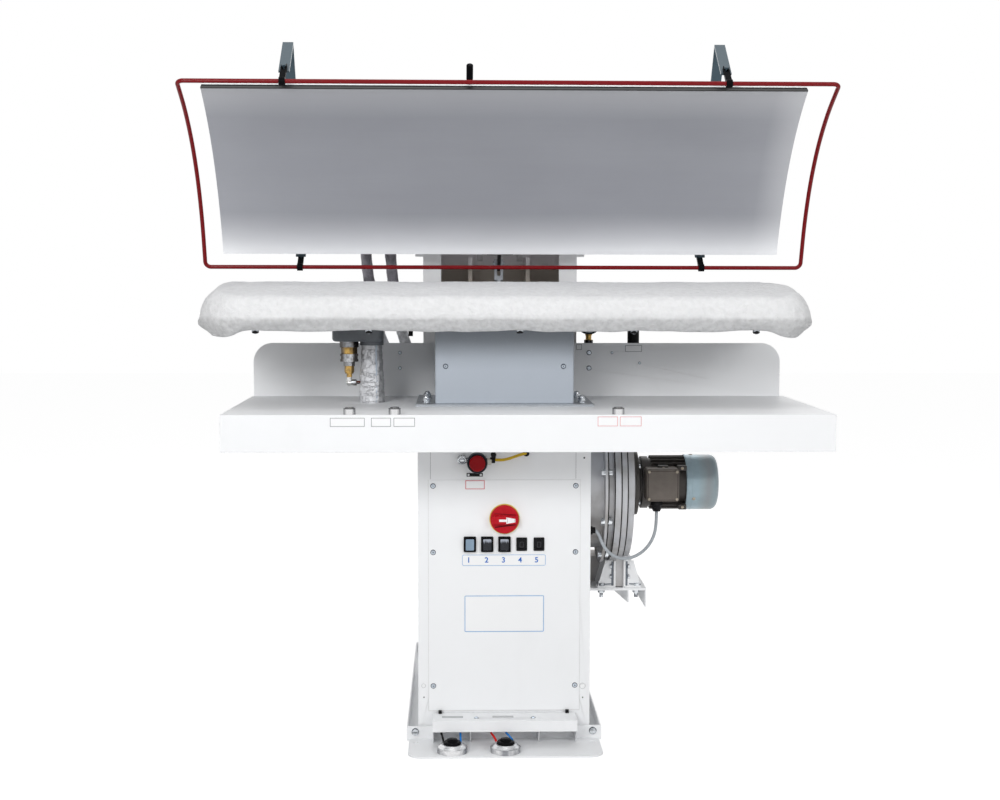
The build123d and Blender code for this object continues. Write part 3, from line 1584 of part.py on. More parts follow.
def guard_straps():
    """Four straps with their guide bolts."""
    pieces = []
    for sign in (-1, 1):
        front_bolt = guide_bolt(sign, guard_front_y, guide_front_rise, guard_front_z, -1)
        pieces.append(front_strap(sign) + front_bolt)
        rear_bolt = guide_bolt(sign, guard_rear_y, guide_rear_rise, guard_rear_z, 1)
        pieces.append(rear_strap(sign) + rear_bolt)
    return pieces


def guard_clip(sign, y, z, rise):
    """Black clip: an eye round the rod and a slotted tongue on the strap."""
    x = sign * strap_x
    bolt_z = z + rise
    across = (x - clip_width / 2, x + clip_width / 2)
    depth = (y - clip_wall / 2, y + clip_wall / 2)
    tongue = fillet(block(across, depth, (z, bolt_z + clip_tip)).edges().filter_by(Axis.Y), clip_corner)
    reach = guide_radius + clip_slot_play
    slot = block((x - clip_slot_half_width, x + clip_slot_half_width), (depth[0] - 1, depth[1] + 1),
                 (bolt_z - guard_travel - reach, bolt_z + reach))
    eye = bar_x(clip_eye_radius, across, y, z)
    return tongue + eye - slot - bar_x(guard_rod_radius, (across[0] - 1, across[1] + 1), y, z)


def guard_clips():
    """Four clips that carry the guard rod."""
    ends = ((guard_front_y, guard_front_z, guide_front_rise), (guard_rear_y, guard_rear_z, guide_rear_rise))
    return [guard_clip(sign, *end) for sign in (-1, 1) for end in ends]


def guard_rod():
    """Round rod bent all round the head, its sides bowed away from the plate."""
    depth = guard_rear_y - guard_front_y
    side = []
    for share in (0.0, 0.2, 0.4, 0.6, 0.8, 1.0):
        rise = share * (guard_rear_z - guard_front_z) + guard_side_rise * 4 * share * (1 - share)
        side.append((guard_front_y + share * depth, guard_front_z + rise))
    corners = [(guard_middle_x - guard_half_width, y, z) for y, z in side]
    corners += [(guard_middle_x + guard_half_width, y, z) for y, z in reversed(side)]
    radii = []
    for index, corner in enumerate(corners):
        before = Vector(*corner) - Vector(*corners[index - 1])
        after = Vector(*corners[(index + 1) % len(corners)]) - Vector(*corner)
        turn = before.get_angle(after)
        bowed = 0.45 * min(before.length, after.length) / tan(radians(turn / 2))
        radii.append(guard_corner if turn > 45 else bowed)
    path = FilletPolyline(*corners, radius=radii, close=True)
    return sweep((path ^ 0) * Circle(guard_rod_radius), path=path)


# Fasteners

def screw_y(radius, x, y, z, depth):
    """Round-headed screw seen from the front; its head stands on the face at y."""
    head = bar_y(radius, x, (y - screw_head_share * radius, y), z)
    return head + bar_y(radius / 2, x, (y - 1, y + depth), z)


def ear_bolt(side):
    """Bolt with a washer through the pedal plate's upstand into the base."""
    x = side * (base_half_width - ear_bolt_margin)
    washer = bar_y(ear_washer_radius, x, (upstand_front - ear_washer_wall, upstand_front), ear_bolt_z)
    head = bar_y(ear_bolt_radius, x, (upstand_front - ear_bolt_head, upstand_front), ear_bolt_z)
    shank = bar_y(ear_bolt_shank, x, (upstand_front - 1, base_front + ear_bolt_reach), ear_bolt_z)
    return washer + head + shank


def rim_bolts():
    """Bolts across the rims of the scroll, each with its nut."""
    bolts = []
    circle = rim_radius - rim_bolt_inset
    for number in range(rim_bolt_count):
        turn = radians(180 - rim_bolt_turn + number * 360 / rim_bolt_count)
        y, z = fan_y + circle * cos(turn), fan_z + circle * sin(turn)
        if y > fan_y and abs(z - fan_z) > circle / 3:
            continue
        bolt = hexagon_x(hexagon, (scroll_left - hexagon_height, scroll_left), y, z)
        bolt += bar_x(bolt_shank, (scroll_left - 1, rim_right + hexagon_height + 1), y, z)
        bolts.append(bolt + hexagon_x(hexagon, (rim_right, rim_right + hexagon_height), y, z))
    return bolts


def foot_bolts():
    """Bolts of the two feet, down through the shelf and across the lug."""
    bolts = []
    seat = shelf_top + foot_plate_wall
    under = shelf_top - shelf_wall
    for x in (lug_left - foot_bolt_reach, lug_right + foot_bolt_reach):
        bolt = hexagon_z(hexagon, x, foot_bolt_y, (seat, seat + hexagon_height))
        bolt += bar_z(bolt_shank, x, foot_bolt_y, (under - foot_bolt_length + hexagon_height, seat + 1))
        bolts.append(bolt + hexagon_z(hexagon, x, foot_bolt_y, (under - hexagon_height, under)))
    left = lug_left - foot_leg_wall
    right = lug_right + foot_leg_wall
    for rise in lug_bolt_rises:
        z = shelf_top + rise
        bolt = bar_x(cross_bolt_radius, (left - cross_bolt_head, left), fan_y, z)
        bolt += bar_x(bolt_shank, (left - 1, right + 1), fan_y, z)
        bolts.append(bolt + bar_x(cross_bolt_radius, (right, right + cross_bolt_head), fan_y, z))
    return bolts


def post_bolts():
    """Bolts of the post's foot."""
    bolts = []
    for side in (-1, 1):
        x = side * (post_foot_half_width - post_bolt_margin)
        for y in post_bolt_rows:
            bolt = hexagon_z(hexagon, x, y, (post_foot_top, post_foot_top + hexagon_height))
            depth = (tray_top - post_bolt_reach, post_foot_top + hexagon_height + bolt_tip)
            bolts.append(bolt + bar_z(bolt_shank, x, y, depth))
    return bolts


def motor_bolts():
    """Bolts that hold the motor's flange to the scroll."""
    bolts = []
    for turn in (45, 135, 225, 315):
        y = fan_y + motor_bolt_circle * cos(radians(turn))
        z = fan_z + motor_bolt_circle * sin(radians(turn))
        bolt = bar_x(motor_bolt_radius, (motor_left, motor_left + bolt_tip), y, z)
        bolts.append(bolt + bar_x(flange_bolt_shank, (scroll_right + 1, motor_left + 1), y, z))
    return bolts


def hex_bolts():
    """Hexagon bolts: base ears, post foot, scroll rim, feet and motor flange."""
    return [ear_bolt(-1), ear_bolt(1)] + post_bolts() + rim_bolts() + foot_bolts() + motor_bolts()


def small_screws():
    """Panel, cowl, splash and hood screws."""
    screws = []
    for side in (-1, 1):
        for z in panel_screw_heights:
            x = side * (panel_half_width - panel_screw_margin)
            screws.append(screw_y(panel_screw_radius, x, panel_face, z, screw_depth))
        x = side * (post_half_width - post_screw_margin)
        screws.append(screw_y(post_screw_radius, x, post_front, tray_top + post_screw_rise, screw_depth))
        screws.append(bar_z(post_screw_radius, side * hood_screw_x, hood_screw_y,
                            (hood_top_z - hood_screw_depth, hood_top_z + hood_screw_rise)))
    splash = tray_rear - tray_sheet
    for rise in splash_screw_rises:
        z = tray_top + rise
        screws.append(screw_y(splash_bolt_radius, gauge_x - splash_bolt_offset, splash, z, splash_bolt_depth))
        screws.append(screw_y(splash_screw_radius, splash_left_screw_x, splash, z, screw_depth))
    for x, rise in splash_plugs:
        screws.append(screw_y(splash_plug_radius, x, splash, tray_top + rise, screw_depth))
    return screws


def as_list(pieces):
    """A list of solids from one solid, a compound or a list."""
    if isinstance(pieces, (list, tuple)):
        found = []
        for piece in pieces:
            found.extend(as_list(piece))
        return found
    return list(pieces.solids())


def cut_for(pieces, tools):
    """Cut the tools out of every piece that they meet."""
    result = []
    for piece in as_list(pieces):
        box = piece.bounding_box()
        for tool in as_list(tools):
            other = tool.bounding_box()
            apart = (box.min.X > other.max.X or other.min.X > box.max.X
                     or box.min.Y > other.max.Y or other.min.Y > box.max.Y
                     or box.min.Z > other.max.Z or other.min.Z > box.max.Z)
            if not apart:
                piece = piece - tool
        result.append(piece)
    return result


def build_all():
    """Every node by name, in its place at rest."""
    chest_outer = chest_form()
    bolts = hex_bolts()
    screws = small_screws()
    fasteners = [bolts, screws]
    nodes = {
        "base_frame": cut_for(base_frame(), fasteners),
        "foot_plate": cut_for(foot_plate(), fasteners),
        "cabinet_shell": cut_for(cabinet_shell(), fasteners),
        "cabinet_front_panel": cut_for(cabinet_front_panel(), fasteners),
        "rear_column": rear_column(),
        "hinge_bearings": hinge_bearings(),
        "cylinder_barrel": cylinder_barrel(),
        "cylinder_rod": cylinder_rod(),
        "table_tray": cut_for(table_tray(), fasteners),
        "post_duct": cut_for(post_duct(), fasteners),
        "post_cowl": cut_for(post_cowl(), fasteners),
        "board_chest": board_chest(chest_outer),
        "board_cover": board_cover(chest_outer),
        "cover_hooks": cover_hooks(),
        "steam_casting": steam_casting(),
        "fitting_stack": fitting_stack(),
        "steam_sleeve": steam_sleeve(),
        "steam_manifold": steam_manifold(),
        "steam_hoses": steam_hoses(),
        "pressure_gauge": pressure_gauge(),
        "air_preparation": cut_for(air_preparation(), fasteners),
        "hex_bolts": bolts,
        "small_screws": screws,
        "button_collars": button_collars(),
        "isolator_plate": isolator_plate(),
        "isolator_knob": isolator_knob(),
        "rocker_frames": rocker_frames(),
        "rocker_covers": rocker_covers(),
        "stop_valve": stop_valve(),
        "stop_button": stop_button(),
        "air_tubes": air_tubes(),
        "fan_housing": cut_for([inlet_casing(), scroll_casing()], fasteners),
        "fan_impeller": fan_impeller(),
        "motor_body": cut_for(motor_body(), fasteners),
        "motor_cowl": motor_cowl(),
        "terminal_box": terminal_box(),
        "cable_glands": cable_glands(),
        "motor_cable": tube(motor_cable_route(), motor_cable_radius, "motor cable"),
        "fan_support": cut_for(fan_support(), fasteners),
        "pedal_bases": pedal_bases(),
        "pedal_dome_left": pedal_dome(pedal_places[0]),
        "pedal_dome_right": pedal_dome(pedal_places[1]),
        "pedal_hood": cut_for(pedal_hood(), fasteners),
    }
    for name, x in zip(("left", "middle", "right"), button_places):
        nodes["push_button_" + name] = push_button(x)
    for index in range(rocker_count):
        nodes["rocker_" + str(index + 1)] = rocker(index)
    head = {
        "head_plate": head_plate(),
        "head_gasket": head_gasket(),
        "head_chest": head_chest(),
        "head_cover": head_cover(),
        "head_yoke": head_yoke(),
        "head_grip": head_grip(),
        "guard_straps": guard_straps(),
        "guard_rod": guard_rod(),
        "guard_clips": guard_clips(),
    }
    for name, pieces in head.items():
        nodes[name] = [open_head(piece) for piece in as_list(pieces)]
    return nodes


os.makedirs("parts", exist_ok=True)
for node, pieces in build_all().items():
    export_step(Compound(children=as_list(pieces)), "parts/" + node + ".step")
print("done")
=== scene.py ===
from math import cos, hypot, pi, radians, sin, sqrt

import bmesh
import bpy
from mathutils import Matrix, Vector, noise


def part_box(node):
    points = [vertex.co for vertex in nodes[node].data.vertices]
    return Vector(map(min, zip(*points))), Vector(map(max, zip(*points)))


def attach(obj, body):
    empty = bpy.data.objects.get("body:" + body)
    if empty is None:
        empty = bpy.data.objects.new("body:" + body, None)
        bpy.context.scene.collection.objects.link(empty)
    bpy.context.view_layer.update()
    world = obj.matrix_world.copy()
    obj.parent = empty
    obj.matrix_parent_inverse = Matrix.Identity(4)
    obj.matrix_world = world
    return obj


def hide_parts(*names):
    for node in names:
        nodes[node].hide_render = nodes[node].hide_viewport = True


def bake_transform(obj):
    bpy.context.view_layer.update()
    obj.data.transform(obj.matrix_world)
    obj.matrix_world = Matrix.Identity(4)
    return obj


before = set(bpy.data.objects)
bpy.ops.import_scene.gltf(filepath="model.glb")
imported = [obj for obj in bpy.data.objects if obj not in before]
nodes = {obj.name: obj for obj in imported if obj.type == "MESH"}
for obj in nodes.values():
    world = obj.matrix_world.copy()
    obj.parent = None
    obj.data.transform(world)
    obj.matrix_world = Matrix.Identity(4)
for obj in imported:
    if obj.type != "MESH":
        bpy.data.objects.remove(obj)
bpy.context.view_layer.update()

# Camera of the photograph, in metres and radians
CAMERA_PLACE = (-0.1004614, -3.37036, 0.94717)
CAMERA_YAW = 0.0299
CAMERA_PITCH = 0.0795
CAMERA_ROLL = 0.0017
CAMERA_LENS = 54.0

# Directions of small parts
FRONT = (0, -1, 0)
UP = (0, 0, 1)
DOWN = (0, 0, -1)
RIGHT = (1, 0, 0)

# Studio: the world's share of the light, the floor, and the lamps' place, target, size and power
WORLD_LIGHT = 0.42
FLOOR_REACH = 12.0
FLOOR_PLAIN = (0.78, 0.78, 0.78)
FLOOR_SHADED = (0.44, 0.44, 0.44)
FLOOR_GLOW = 0.8
LAMPS = (
    ("key", (-1.4, -3.5, 2.05), (0.0, -0.2, 0.65), 1.0, 50.0),
    ("fill", (2.0, -3.4, 1.8), (0.0, -0.2, 0.6), 1.1, 30.0),
    ("top", (0.0, -0.6, 3.6), (0.0, -0.2, 0.8), 2.6, 25.0),
    ("rear", (0.5, 2.8, 2.2), (0.0, 0.1, 0.8), 2.2, 16.0),
)

# Colours of the finishes
WHITE = (0.895, 0.905, 0.918)
COWL_GREY = (0.47, 0.515, 0.575)
PLATE_GREY = (0.365, 0.375, 0.412)
# Colour of the painted reflections on the head plate
PLATE_PAINTED_REFLECTION = (0.95, 0.965, 0.99)
CLOTH_WHITE = (0.86, 0.865, 0.875)
SLATE = (0.175, 0.19, 0.208)
MOTOR_TAUPE = (0.06, 0.053, 0.048)
ZINC_BLUE = (0.33, 0.43, 0.48)
ZINC_SILVER = (0.27, 0.285, 0.29)
BLACK = (0.01, 0.01, 0.011)
BRASS = (0.52, 0.33, 0.1)
STEEL = (0.44, 0.465, 0.5)
CHROME = (0.74, 0.74, 0.75)
ALUMINIUM = (0.66, 0.66, 0.67)
SILVER_CLOTH = (0.86, 0.87, 0.9)
# Colour of the hoses' silvery cloth under painted shade, above the board
HOSE_SHADED_GREY = (0.26, 0.25, 0.28)
CLEAR_BLUE = (0.82, 0.88, 0.96)

# Faces of the CAD pieces that small pieces stand on
PANEL_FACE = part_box("cabinet_front_panel")[0].y
CABINET_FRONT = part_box("cabinet_shell")[0].y
LIP_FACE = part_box("table_tray")[0].y
SPLASH_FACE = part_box("table_tray")[1].y - 0.0025
POST_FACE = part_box("post_cowl")[0].y
HOOD_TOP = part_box("pedal_hood")[1].z

# Board: middle, half length and depth, corner in plan, crown height, arc of the top, rounding of its ends
# and shoulder, rings of the cover, heights of its hem, tuck and seam, and X of the hooks
BOARD_MIDDLE_Y = -0.25
BOARD_MIDDLE_X = 0.0035
BOARD_HALF = (0.6135, 0.203)
BOARD_CORNER = 0.095
BOARD_CROWN = 0.945
BOARD_ARC = 0.627
BOARD_END = (0.052, 0.07)
BOARD_SHOULDER = 0.026
TOP_RINGS = 22
SHOULDER_RINGS = 9
SIDE_RINGS = 17
HEM_HEIGHT = 0.8515
TUCK_HEIGHT = 0.852
SEAM_HEIGHT = 0.8765
HOOK_PLACES = (-0.492, -0.27, 0.027, 0.252, 0.495)

# Sleeve: bend of its middle line, spacing of its rings, its seam's place from the middle
SLEEVE_BEND = 0.04
SLEEVE_STEPS = (0.003, 0.004)
SLEEVE_SEAM = 0.0105

# Fitting stack: its middle along X and Y, and the depths at which its metal changes
STACK_X = -0.3205
STACK_Y = -0.25
STACK_STEPS = ((0.012, BRASS), (0.026, (0.46, 0.47, 0.49)), (0.042, (0.36, 0.37, 0.39)),
               (0.051, BRASS), (0.0744, (0.76, 0.76, 0.75)))

# Its collars: depth, radius and height
STACK_COLLARS = ((0.0114, 0.0182, 0.0014), (0.025, 0.0172, 0.0012), (0.0505, 0.0112, 0.0012),
                 (0.064, 0.009, 0.003))

# Screws: heights on the panel; X, Z and radius on the splash plate
PANEL_SCREW_HEIGHTS = (0.1135, 0.392, 0.529)
SPLASH_SCREWS = ((0.1935, 0.7555, 0.0046), (-0.2215, 0.7555, 0.0032), (0.1935, 0.7893, 0.0046),
                 (-0.2215, 0.7893, 0.0032), (0.2443, 0.7894, 0.0026), (0.3054, 0.7665, 0.0026))

# Plugs of the cabinet's front: X, Z, steps and profile; small holes: X, Z and radius
PLUGS = ((-0.1662, 0.1134, 20, ((0, 0.0038), (0.0008, 0.0036), (0.0012, 0.002), (0.0012, 0))),
         (0.1621, 0.1112, 24, ((0, 0.0056), (0.001, 0.0054), (0.0012, 0.0044), (0.0003, 0.004),
                              (0.0003, 0))),
         (-0.1642, 0.5924, 16, ((0, 0.0024), (0.0004, 0.0024), (0.0004, 0))))
SMALL_HOLES = ((-0.1654, 0.0892, 0.0014), (0.1627, 0.087, 0.0014), (0.1631, 0.5861, 0.0019))

# Labels: X of the strip's numbers; name, two corners as X and Z, corner radius, face, line and its width
NUMBER_PLACES = (-0.0732, -0.0365, -0.0018, 0.0323, 0.066)
LABEL_PLATES = (
    ("panel_plate", (-0.0822, 0.2257), (0.0822, 0.3025), 0.003, PANEL_FACE, "border_blue", 0.0014),
    ("stop_plate", (-0.0807, 0.5215), (-0.0399, 0.5412), 0.0015, PANEL_FACE, "border_red", 0.0016),
    ("lip_plate_1", (-0.337, 0.6713), (-0.2708, 0.6892), 0.001, LIP_FACE, "border_dark"),
    ("lip_plate_2", (-0.2596, 0.6713), (-0.2213, 0.6892), 0.001, LIP_FACE, "border_dark"),
    ("lip_plate_3", (-0.2173, 0.6713), (-0.1761, 0.6892), 0.001, LIP_FACE, "border_dark"),
    ("lip_plate_4", (0.1686, 0.6718), (0.2079, 0.6912), 0.001, LIP_FACE, "border_red"),
    ("lip_plate_5", (0.2108, 0.6718), (0.2528, 0.6912), 0.001, LIP_FACE, "border_red"),
    ("splash_plate_1", (0.1648, 0.7952), (0.1781, 0.8083), 0.001, SPLASH_FACE, "border_dark"),
    ("splash_plate_2", (0.2728, 0.7908), (0.3105, 0.8062), 0.001, SPLASH_FACE, "border_dark"),
)

# Bolts at the base's front ears, along X and Z
EAR_X = 0.1834
EAR_Z = 0.019

# Blower and motor axis, along X; the volute's dark joints, partly painted shade at its steps: X and radius;
# the lugs: sides, bottom and top
FAN_Y = -0.165
FAN_Z = 0.514
VOLUTE_JOINTS_AND_SHADE = ((0.227, 0.1683), (0.241, 0.1681), (0.254, 0.1651), (0.2135, 0.172))
MOTOR_LUGS = ((0.33, 0.352, 0.545, 0.556), (0.3715, 0.391, 0.545, 0.556), (0.374, 0.391, 0.462, 0.473))

# Routes of the cords, the same points as the solids have
MOTOR_CABLE = ((0.3254, -0.233, 0.461), (0.325, -0.236, 0.428), (0.316, -0.246, 0.402),
               (0.297, -0.264, 0.382), (0.271, -0.284, 0.371), (0.243, -0.3, 0.371),
               (0.219, -0.309, 0.383), (0.203, -0.309, 0.404), (0.197, -0.304, 0.424),
               (0.189, -0.303, 0.432))
AIR_TUBE = ((-0.021, -0.343, 0.584), (-0.008, -0.346, 0.5835), (0.006, -0.347, 0.586),
            (0.02, -0.3455, 0.5905), (0.034, -0.341, 0.595), (0.044, -0.337, 0.5965))
# Tubes of the pedals: start along X, shift along X and colour; share of the shift, Y and Z of each point
PEDAL_TUBES = ((-0.124, -0.008, "black"), (-0.09, -0.001, "blue"),
               (-0.017, -0.017, "red"), (0.017, -0.022, "blue"))
PEDAL_ROUTE = ((0, -0.409, 0.015), (0.1, -0.4045, 0.0215), (0.35, -0.397, 0.0265),
               (0.7, -0.38, 0.03), (1, -0.356, 0.041), (1, -0.329, 0.041))
# Hoses: Y and Z of their upper ends; name and X of the upper and the lower end
HOSE_TOP = (-0.0487, 1.0212)
HOSE_RADIUS = 0.0135
HOSES = (("left", -0.297, -0.257), ("right", -0.243, -0.208))


# Every finished material by its name
finishes = {}


class Value:
    """A number from a shader socket; sums on it add Math nodes."""

    def __init__(self, finish, socket):
        self.finish = finish
        self.socket = socket

    def math(self, operation, first, second):
        return self.finish.node("Math", {"operation": operation}, {0: first, 1: second})

    def __add__(self, other):
        return self.math("ADD", self, other)

    def __radd__(self, other):
        return self.math("ADD", other, self)

    def __sub__(self, other):
        return self.math("SUBTRACT", self, other)

    def __rsub__(self, other):
        return self.math("SUBTRACT", other, self)

    def __mul__(self, other):
        return self.math("MULTIPLY", self, other)

    def __rmul__(self, other):
        return self.math("MULTIPLY", other, self)


class Finish:
    """A material, or the world, made of shader nodes."""

    def __init__(self, name, owner=None):
        self.name = name
        self.material = owner or bpy.data.materials.new(name)
        self.material.use_nodes = True
        self.tree = self.material.node_tree
        self.shader = self.tree.nodes.get("Principled BSDF")
        if self.shader:
            self.place = self.node("TexCoord", {}, {}, "Object")

    def feed(self, socket, value):
        if isinstance(value, Value):
            self.tree.links.new(value.socket, socket)
        elif socket.type == "RGBA":
            socket.default_value = (*value, 1.0)
        else:
            socket.default_value = value

    def node(self, kind, settings, sockets, output=0):
        """Adds a node, sets it up, feeds its sockets and gives one of its outputs."""
        node = self.tree.nodes.new("ShaderNode" + kind)
        for name, value in settings.items():
            setattr(node, name, value)
        for key, value in sockets.items():
            self.feed(node.inputs[key], value)
        return Value(self, node.outputs[output])

    def noise(self, scale, detail=3.0, stretch=(1, 1, 1), roughness=0.5):
        """Soft noise between 0 and 1, its grain finer along the larger stretches."""
        place = self.node("Mapping", {}, {"Vector": self.place, "Scale": stretch})
        sockets = {"Vector": place, "Scale": scale, "Detail": detail, "Roughness": roughness}
        return self.node("TexNoise", {}, sockets, "Fac")

    def cells(self, scale, stretch=(1, 1, 1)):
        """Distance to the nearest of many scattered points."""
        place = self.node("Mapping", {}, {"Vector": self.place, "Scale": stretch})
        return self.node("TexVoronoi", {}, {"Vector": place, "Scale": scale}, "Distance")

    def along(self, axis):
        """The place along X, Y or Z, in metres."""
        return self.node("SeparateXYZ", {}, {0: self.place}, axis)

    def away(self, middles):
        """Distance along X from the nearest of some middles, in metres."""
        nearest = None
        for middle in middles:
            gap = self.node("Math", {"operation": "ABSOLUTE"}, {0: self.along(0) - middle})
            nearest = nearest.math("MINIMUM", nearest, gap) if nearest else gap
        return nearest

    def band(self, value, low, high, out_low=0.0, out_high=1.0):
        """The value, stretched from low..high to out_low..out_high and held there."""
        sockets = {"Value": value, "From Min": low, "From Max": high, "To Min": out_low, "To Max": out_high}
        return self.node("MapRange", {}, sockets)

    def rough(self, value, low, high):
        """A roughness that follows soft noise."""
        return self.band(value, 0.3, 0.7, low, high)

    def grain(self, scale, detail, distance):
        """A normal bent by fine noise; the distance is in metres."""
        return self.bump(self.noise(scale, detail), distance)

    def mix(self, factor, first, second):
        """A colour between two colours."""
        return self.node("Mix", {"data_type": "RGBA"}, {0: factor, 6: first, 7: second}, 2)

    def bump(self, height, distance, strength=1.0):
        """A normal bent by a height; the distance is in metres."""
        return self.node("Bump", {}, {"Height": height, "Distance": distance, "Strength": strength})

    def set(self, sockets):
        """Feeds the shader and keeps the material under its name."""
        for name, value in sockets.items():
            self.feed(self.shader.inputs[name], value)
        finishes[self.name] = self.material


def darker(colour, share):
    """The colour times a share."""
    return tuple(channel * share for channel in colour)


# Finishes

def coated_metal(name, colour, grime=0.5, roughness=0.36, gloss=0.3):
    """Powder coat: fine orange peel, faint shading and grey handling marks."""
    finish = Finish(name)
    broad = finish.noise(3.0, 4.0)
    peel = finish.noise(700.0, 2.0)
    marks = finish.band(finish.noise(11.0, 7.0, (1.0, 1.0, 0.4)), 0.6, 0.82)
    specks = finish.band(finish.cells(60.0), 0.035, 0.02)
    shade = finish.mix(finish.band(broad, 0.35, 0.7), colour, darker(colour, 0.975))
    dirt = marks * 0.22 * grime + specks * 0.3 * grime
    finish.set({
        "Base Color": finish.mix(dirt, shade, darker(colour, 0.72)),
        "Roughness": finish.rough(broad, roughness - 0.05, roughness + 0.07) + marks * 0.08,
        "Specular IOR Level": gloss,
        "Normal": finish.bump(peel, 0.00005),
    })


def column_steel():
    """White coat outside; greyer inside, and brown below the height of the board's top."""
    low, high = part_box("rear_column")
    finish = Finish("column_steel")
    broad = finish.noise(5.0, 5.0)
    inside = finish.band(finish.away([0.0]), high.x - 0.0016, high.x - 0.002)
    inside = inside * finish.band(finish.along(1), low.y + 0.003, low.y + 0.004)
    inside = inside * finish.band(finish.along(1), high.y - 0.0016, high.y - 0.002)
    deep = finish.band(finish.along(2) + (broad - 0.5) * 0.004, 0.98, 0.977)
    inner = finish.mix(deep, (0.92, 0.9, 0.92), (0.5, 0.45, 0.4))
    shade = finish.mix(finish.band(broad, 0.35, 0.7), WHITE, darker(WHITE, 0.95))
    finish.set({
        "Base Color": finish.mix(inside, shade, inner),
        "Roughness": finish.rough(broad, 0.4, 0.52),
        "Specular IOR Level": 0.3,
        "Normal": finish.grain(700.0, 2.0, 0.00005),
    })


def cowl_coat():
    """Light grey hammered coat of the post, with a painted shadow of the board that darkens it towards its
    top.
    """
    finish = Finish("grey_coat")
    broad = finish.noise(4.0, 4.0)
    flakes = finish.band(finish.cells(230.0), 0.16, 0.08)
    # Painted shadow of the board: the coat turns darker towards the post's top.
    top = finish.band(finish.along(2) + (broad - 0.5) * 0.01, 0.765, 0.85)
    shade = finish.mix(finish.band(broad, 0.35, 0.7), COWL_GREY, darker(COWL_GREY, 0.96))
    shade = finish.mix(top * 0.85, shade, darker(COWL_GREY, 0.42))
    finish.set({
        "Base Color": finish.mix(flakes * 0.16, shade, (0.8, 0.83, 0.88)),
        "Roughness": finish.rough(broad, 0.36, 0.46),
        "Specular IOR Level": 0.3,
        "Normal": finish.grain(600.0, 2.0, 0.00006),
    })


def bolt_steel():
    """Plated bolts: painted reflections as bright and dark stripes round their heads."""
    finish = Finish("bolt_steel")
    # Painted reflections: bright and dark stripes round the heads.
    painted_reflection_bands = finish.band(finish.noise(150.0, 2.0, (0.25, 1.0, 1.0)), 0.45, 0.6)
    finish.set({
        "Base Color": finish.mix(painted_reflection_bands * 0.8, (0.72, 0.75, 0.78), (0.11, 0.12, 0.135)),
        "Metallic": 0.92,
        "Roughness": finish.rough(finish.noise(400.0, 3.0), 0.2, 0.34),
        "Normal": finish.grain(500.0, 2.0, 0.00003),
    })


def yoke_paint():
    """Grey coat, near black on the lever in the middle."""
    finish = Finish("yoke_paint")
    broad = finish.noise(12.0, 5.0)
    lever = finish.band(finish.away([0.0]), 0.03, 0.028)
    pale = finish.mix(broad, (0.6, 0.59, 0.6), (0.5, 0.49, 0.5))
    finish.set({
        "Base Color": finish.mix(lever, pale, (0.05, 0.052, 0.057)),
        "Roughness": finish.rough(broad, 0.38, 0.5),
        "Specular IOR Level": 0.3,
        "Normal": finish.grain(600.0, 2.0, 0.00006),
    })


def moulded(name, colour, roughness=0.42, grain=0.00003, gloss=0.09):
    """Moulded plastic or rubber with a faint spark-eroded grain and dust."""
    finish = Finish(name)
    broad = finish.noise(55.0, 4.0)
    fine = finish.noise(1600.0, 2.0)
    dust = finish.band(finish.noise(160.0, 5.0), 0.58, 0.78)
    pale = tuple(channel * 0.85 + 0.012 for channel in colour)
    shade = finish.mix(finish.band(broad, 0.3, 0.7), colour, darker(colour, 0.84))
    finish.set({
        "Base Color": finish.mix(dust * 0.22, shade, pale),
        "Roughness": finish.rough(broad, roughness - 0.06, roughness + 0.08) + dust * 0.12,
        "Specular IOR Level": gloss,
        "Normal": finish.bump(fine, grain),
    })


def worked_metal(name, colour, roughness, tarnish=0.75, metal=0.92):
    """Machined metal: fine tool marks, softly varied shine and a little tarnish."""
    finish = Finish(name)
    broad = finish.noise(38.0, 5.0)
    marks = finish.noise(420.0, 3.0)
    stain = finish.band(finish.noise(90.0, 6.0), 0.52, 0.76)
    shade = finish.mix(finish.band(broad, 0.3, 0.7), colour, darker(colour, 0.86))
    finish.set({
        "Base Color": finish.mix(stain * 0.55, shade, darker(colour, tarnish)),
        "Metallic": metal,
        "Roughness": finish.rough(marks, roughness - 0.07, roughness + 0.1) + stain * 0.12,
        "Normal": finish.bump(marks, 0.00003),
    })


def cast_metal(name, colour, other, metal, streak=(1, 1, 1)):
    """Sand-cast metal: grainy skin, dark smears and rubbed places."""
    finish = Finish(name)
    broad = finish.noise(9.0, 6.0, streak)
    grain = finish.noise(520.0, 3.0)
    smear = finish.band(finish.noise(26.0, 6.0, streak), 0.5, 0.72)
    shade = finish.mix(finish.band(broad, 0.32, 0.68), colour, other)
    finish.set({
        "Base Color": finish.mix(smear * 0.55, shade, darker(other, 0.62)),
        "Metallic": metal,
        "Roughness": finish.rough(broad, 0.42, 0.6),
        "Normal": finish.bump(grain, 0.00012),
    })


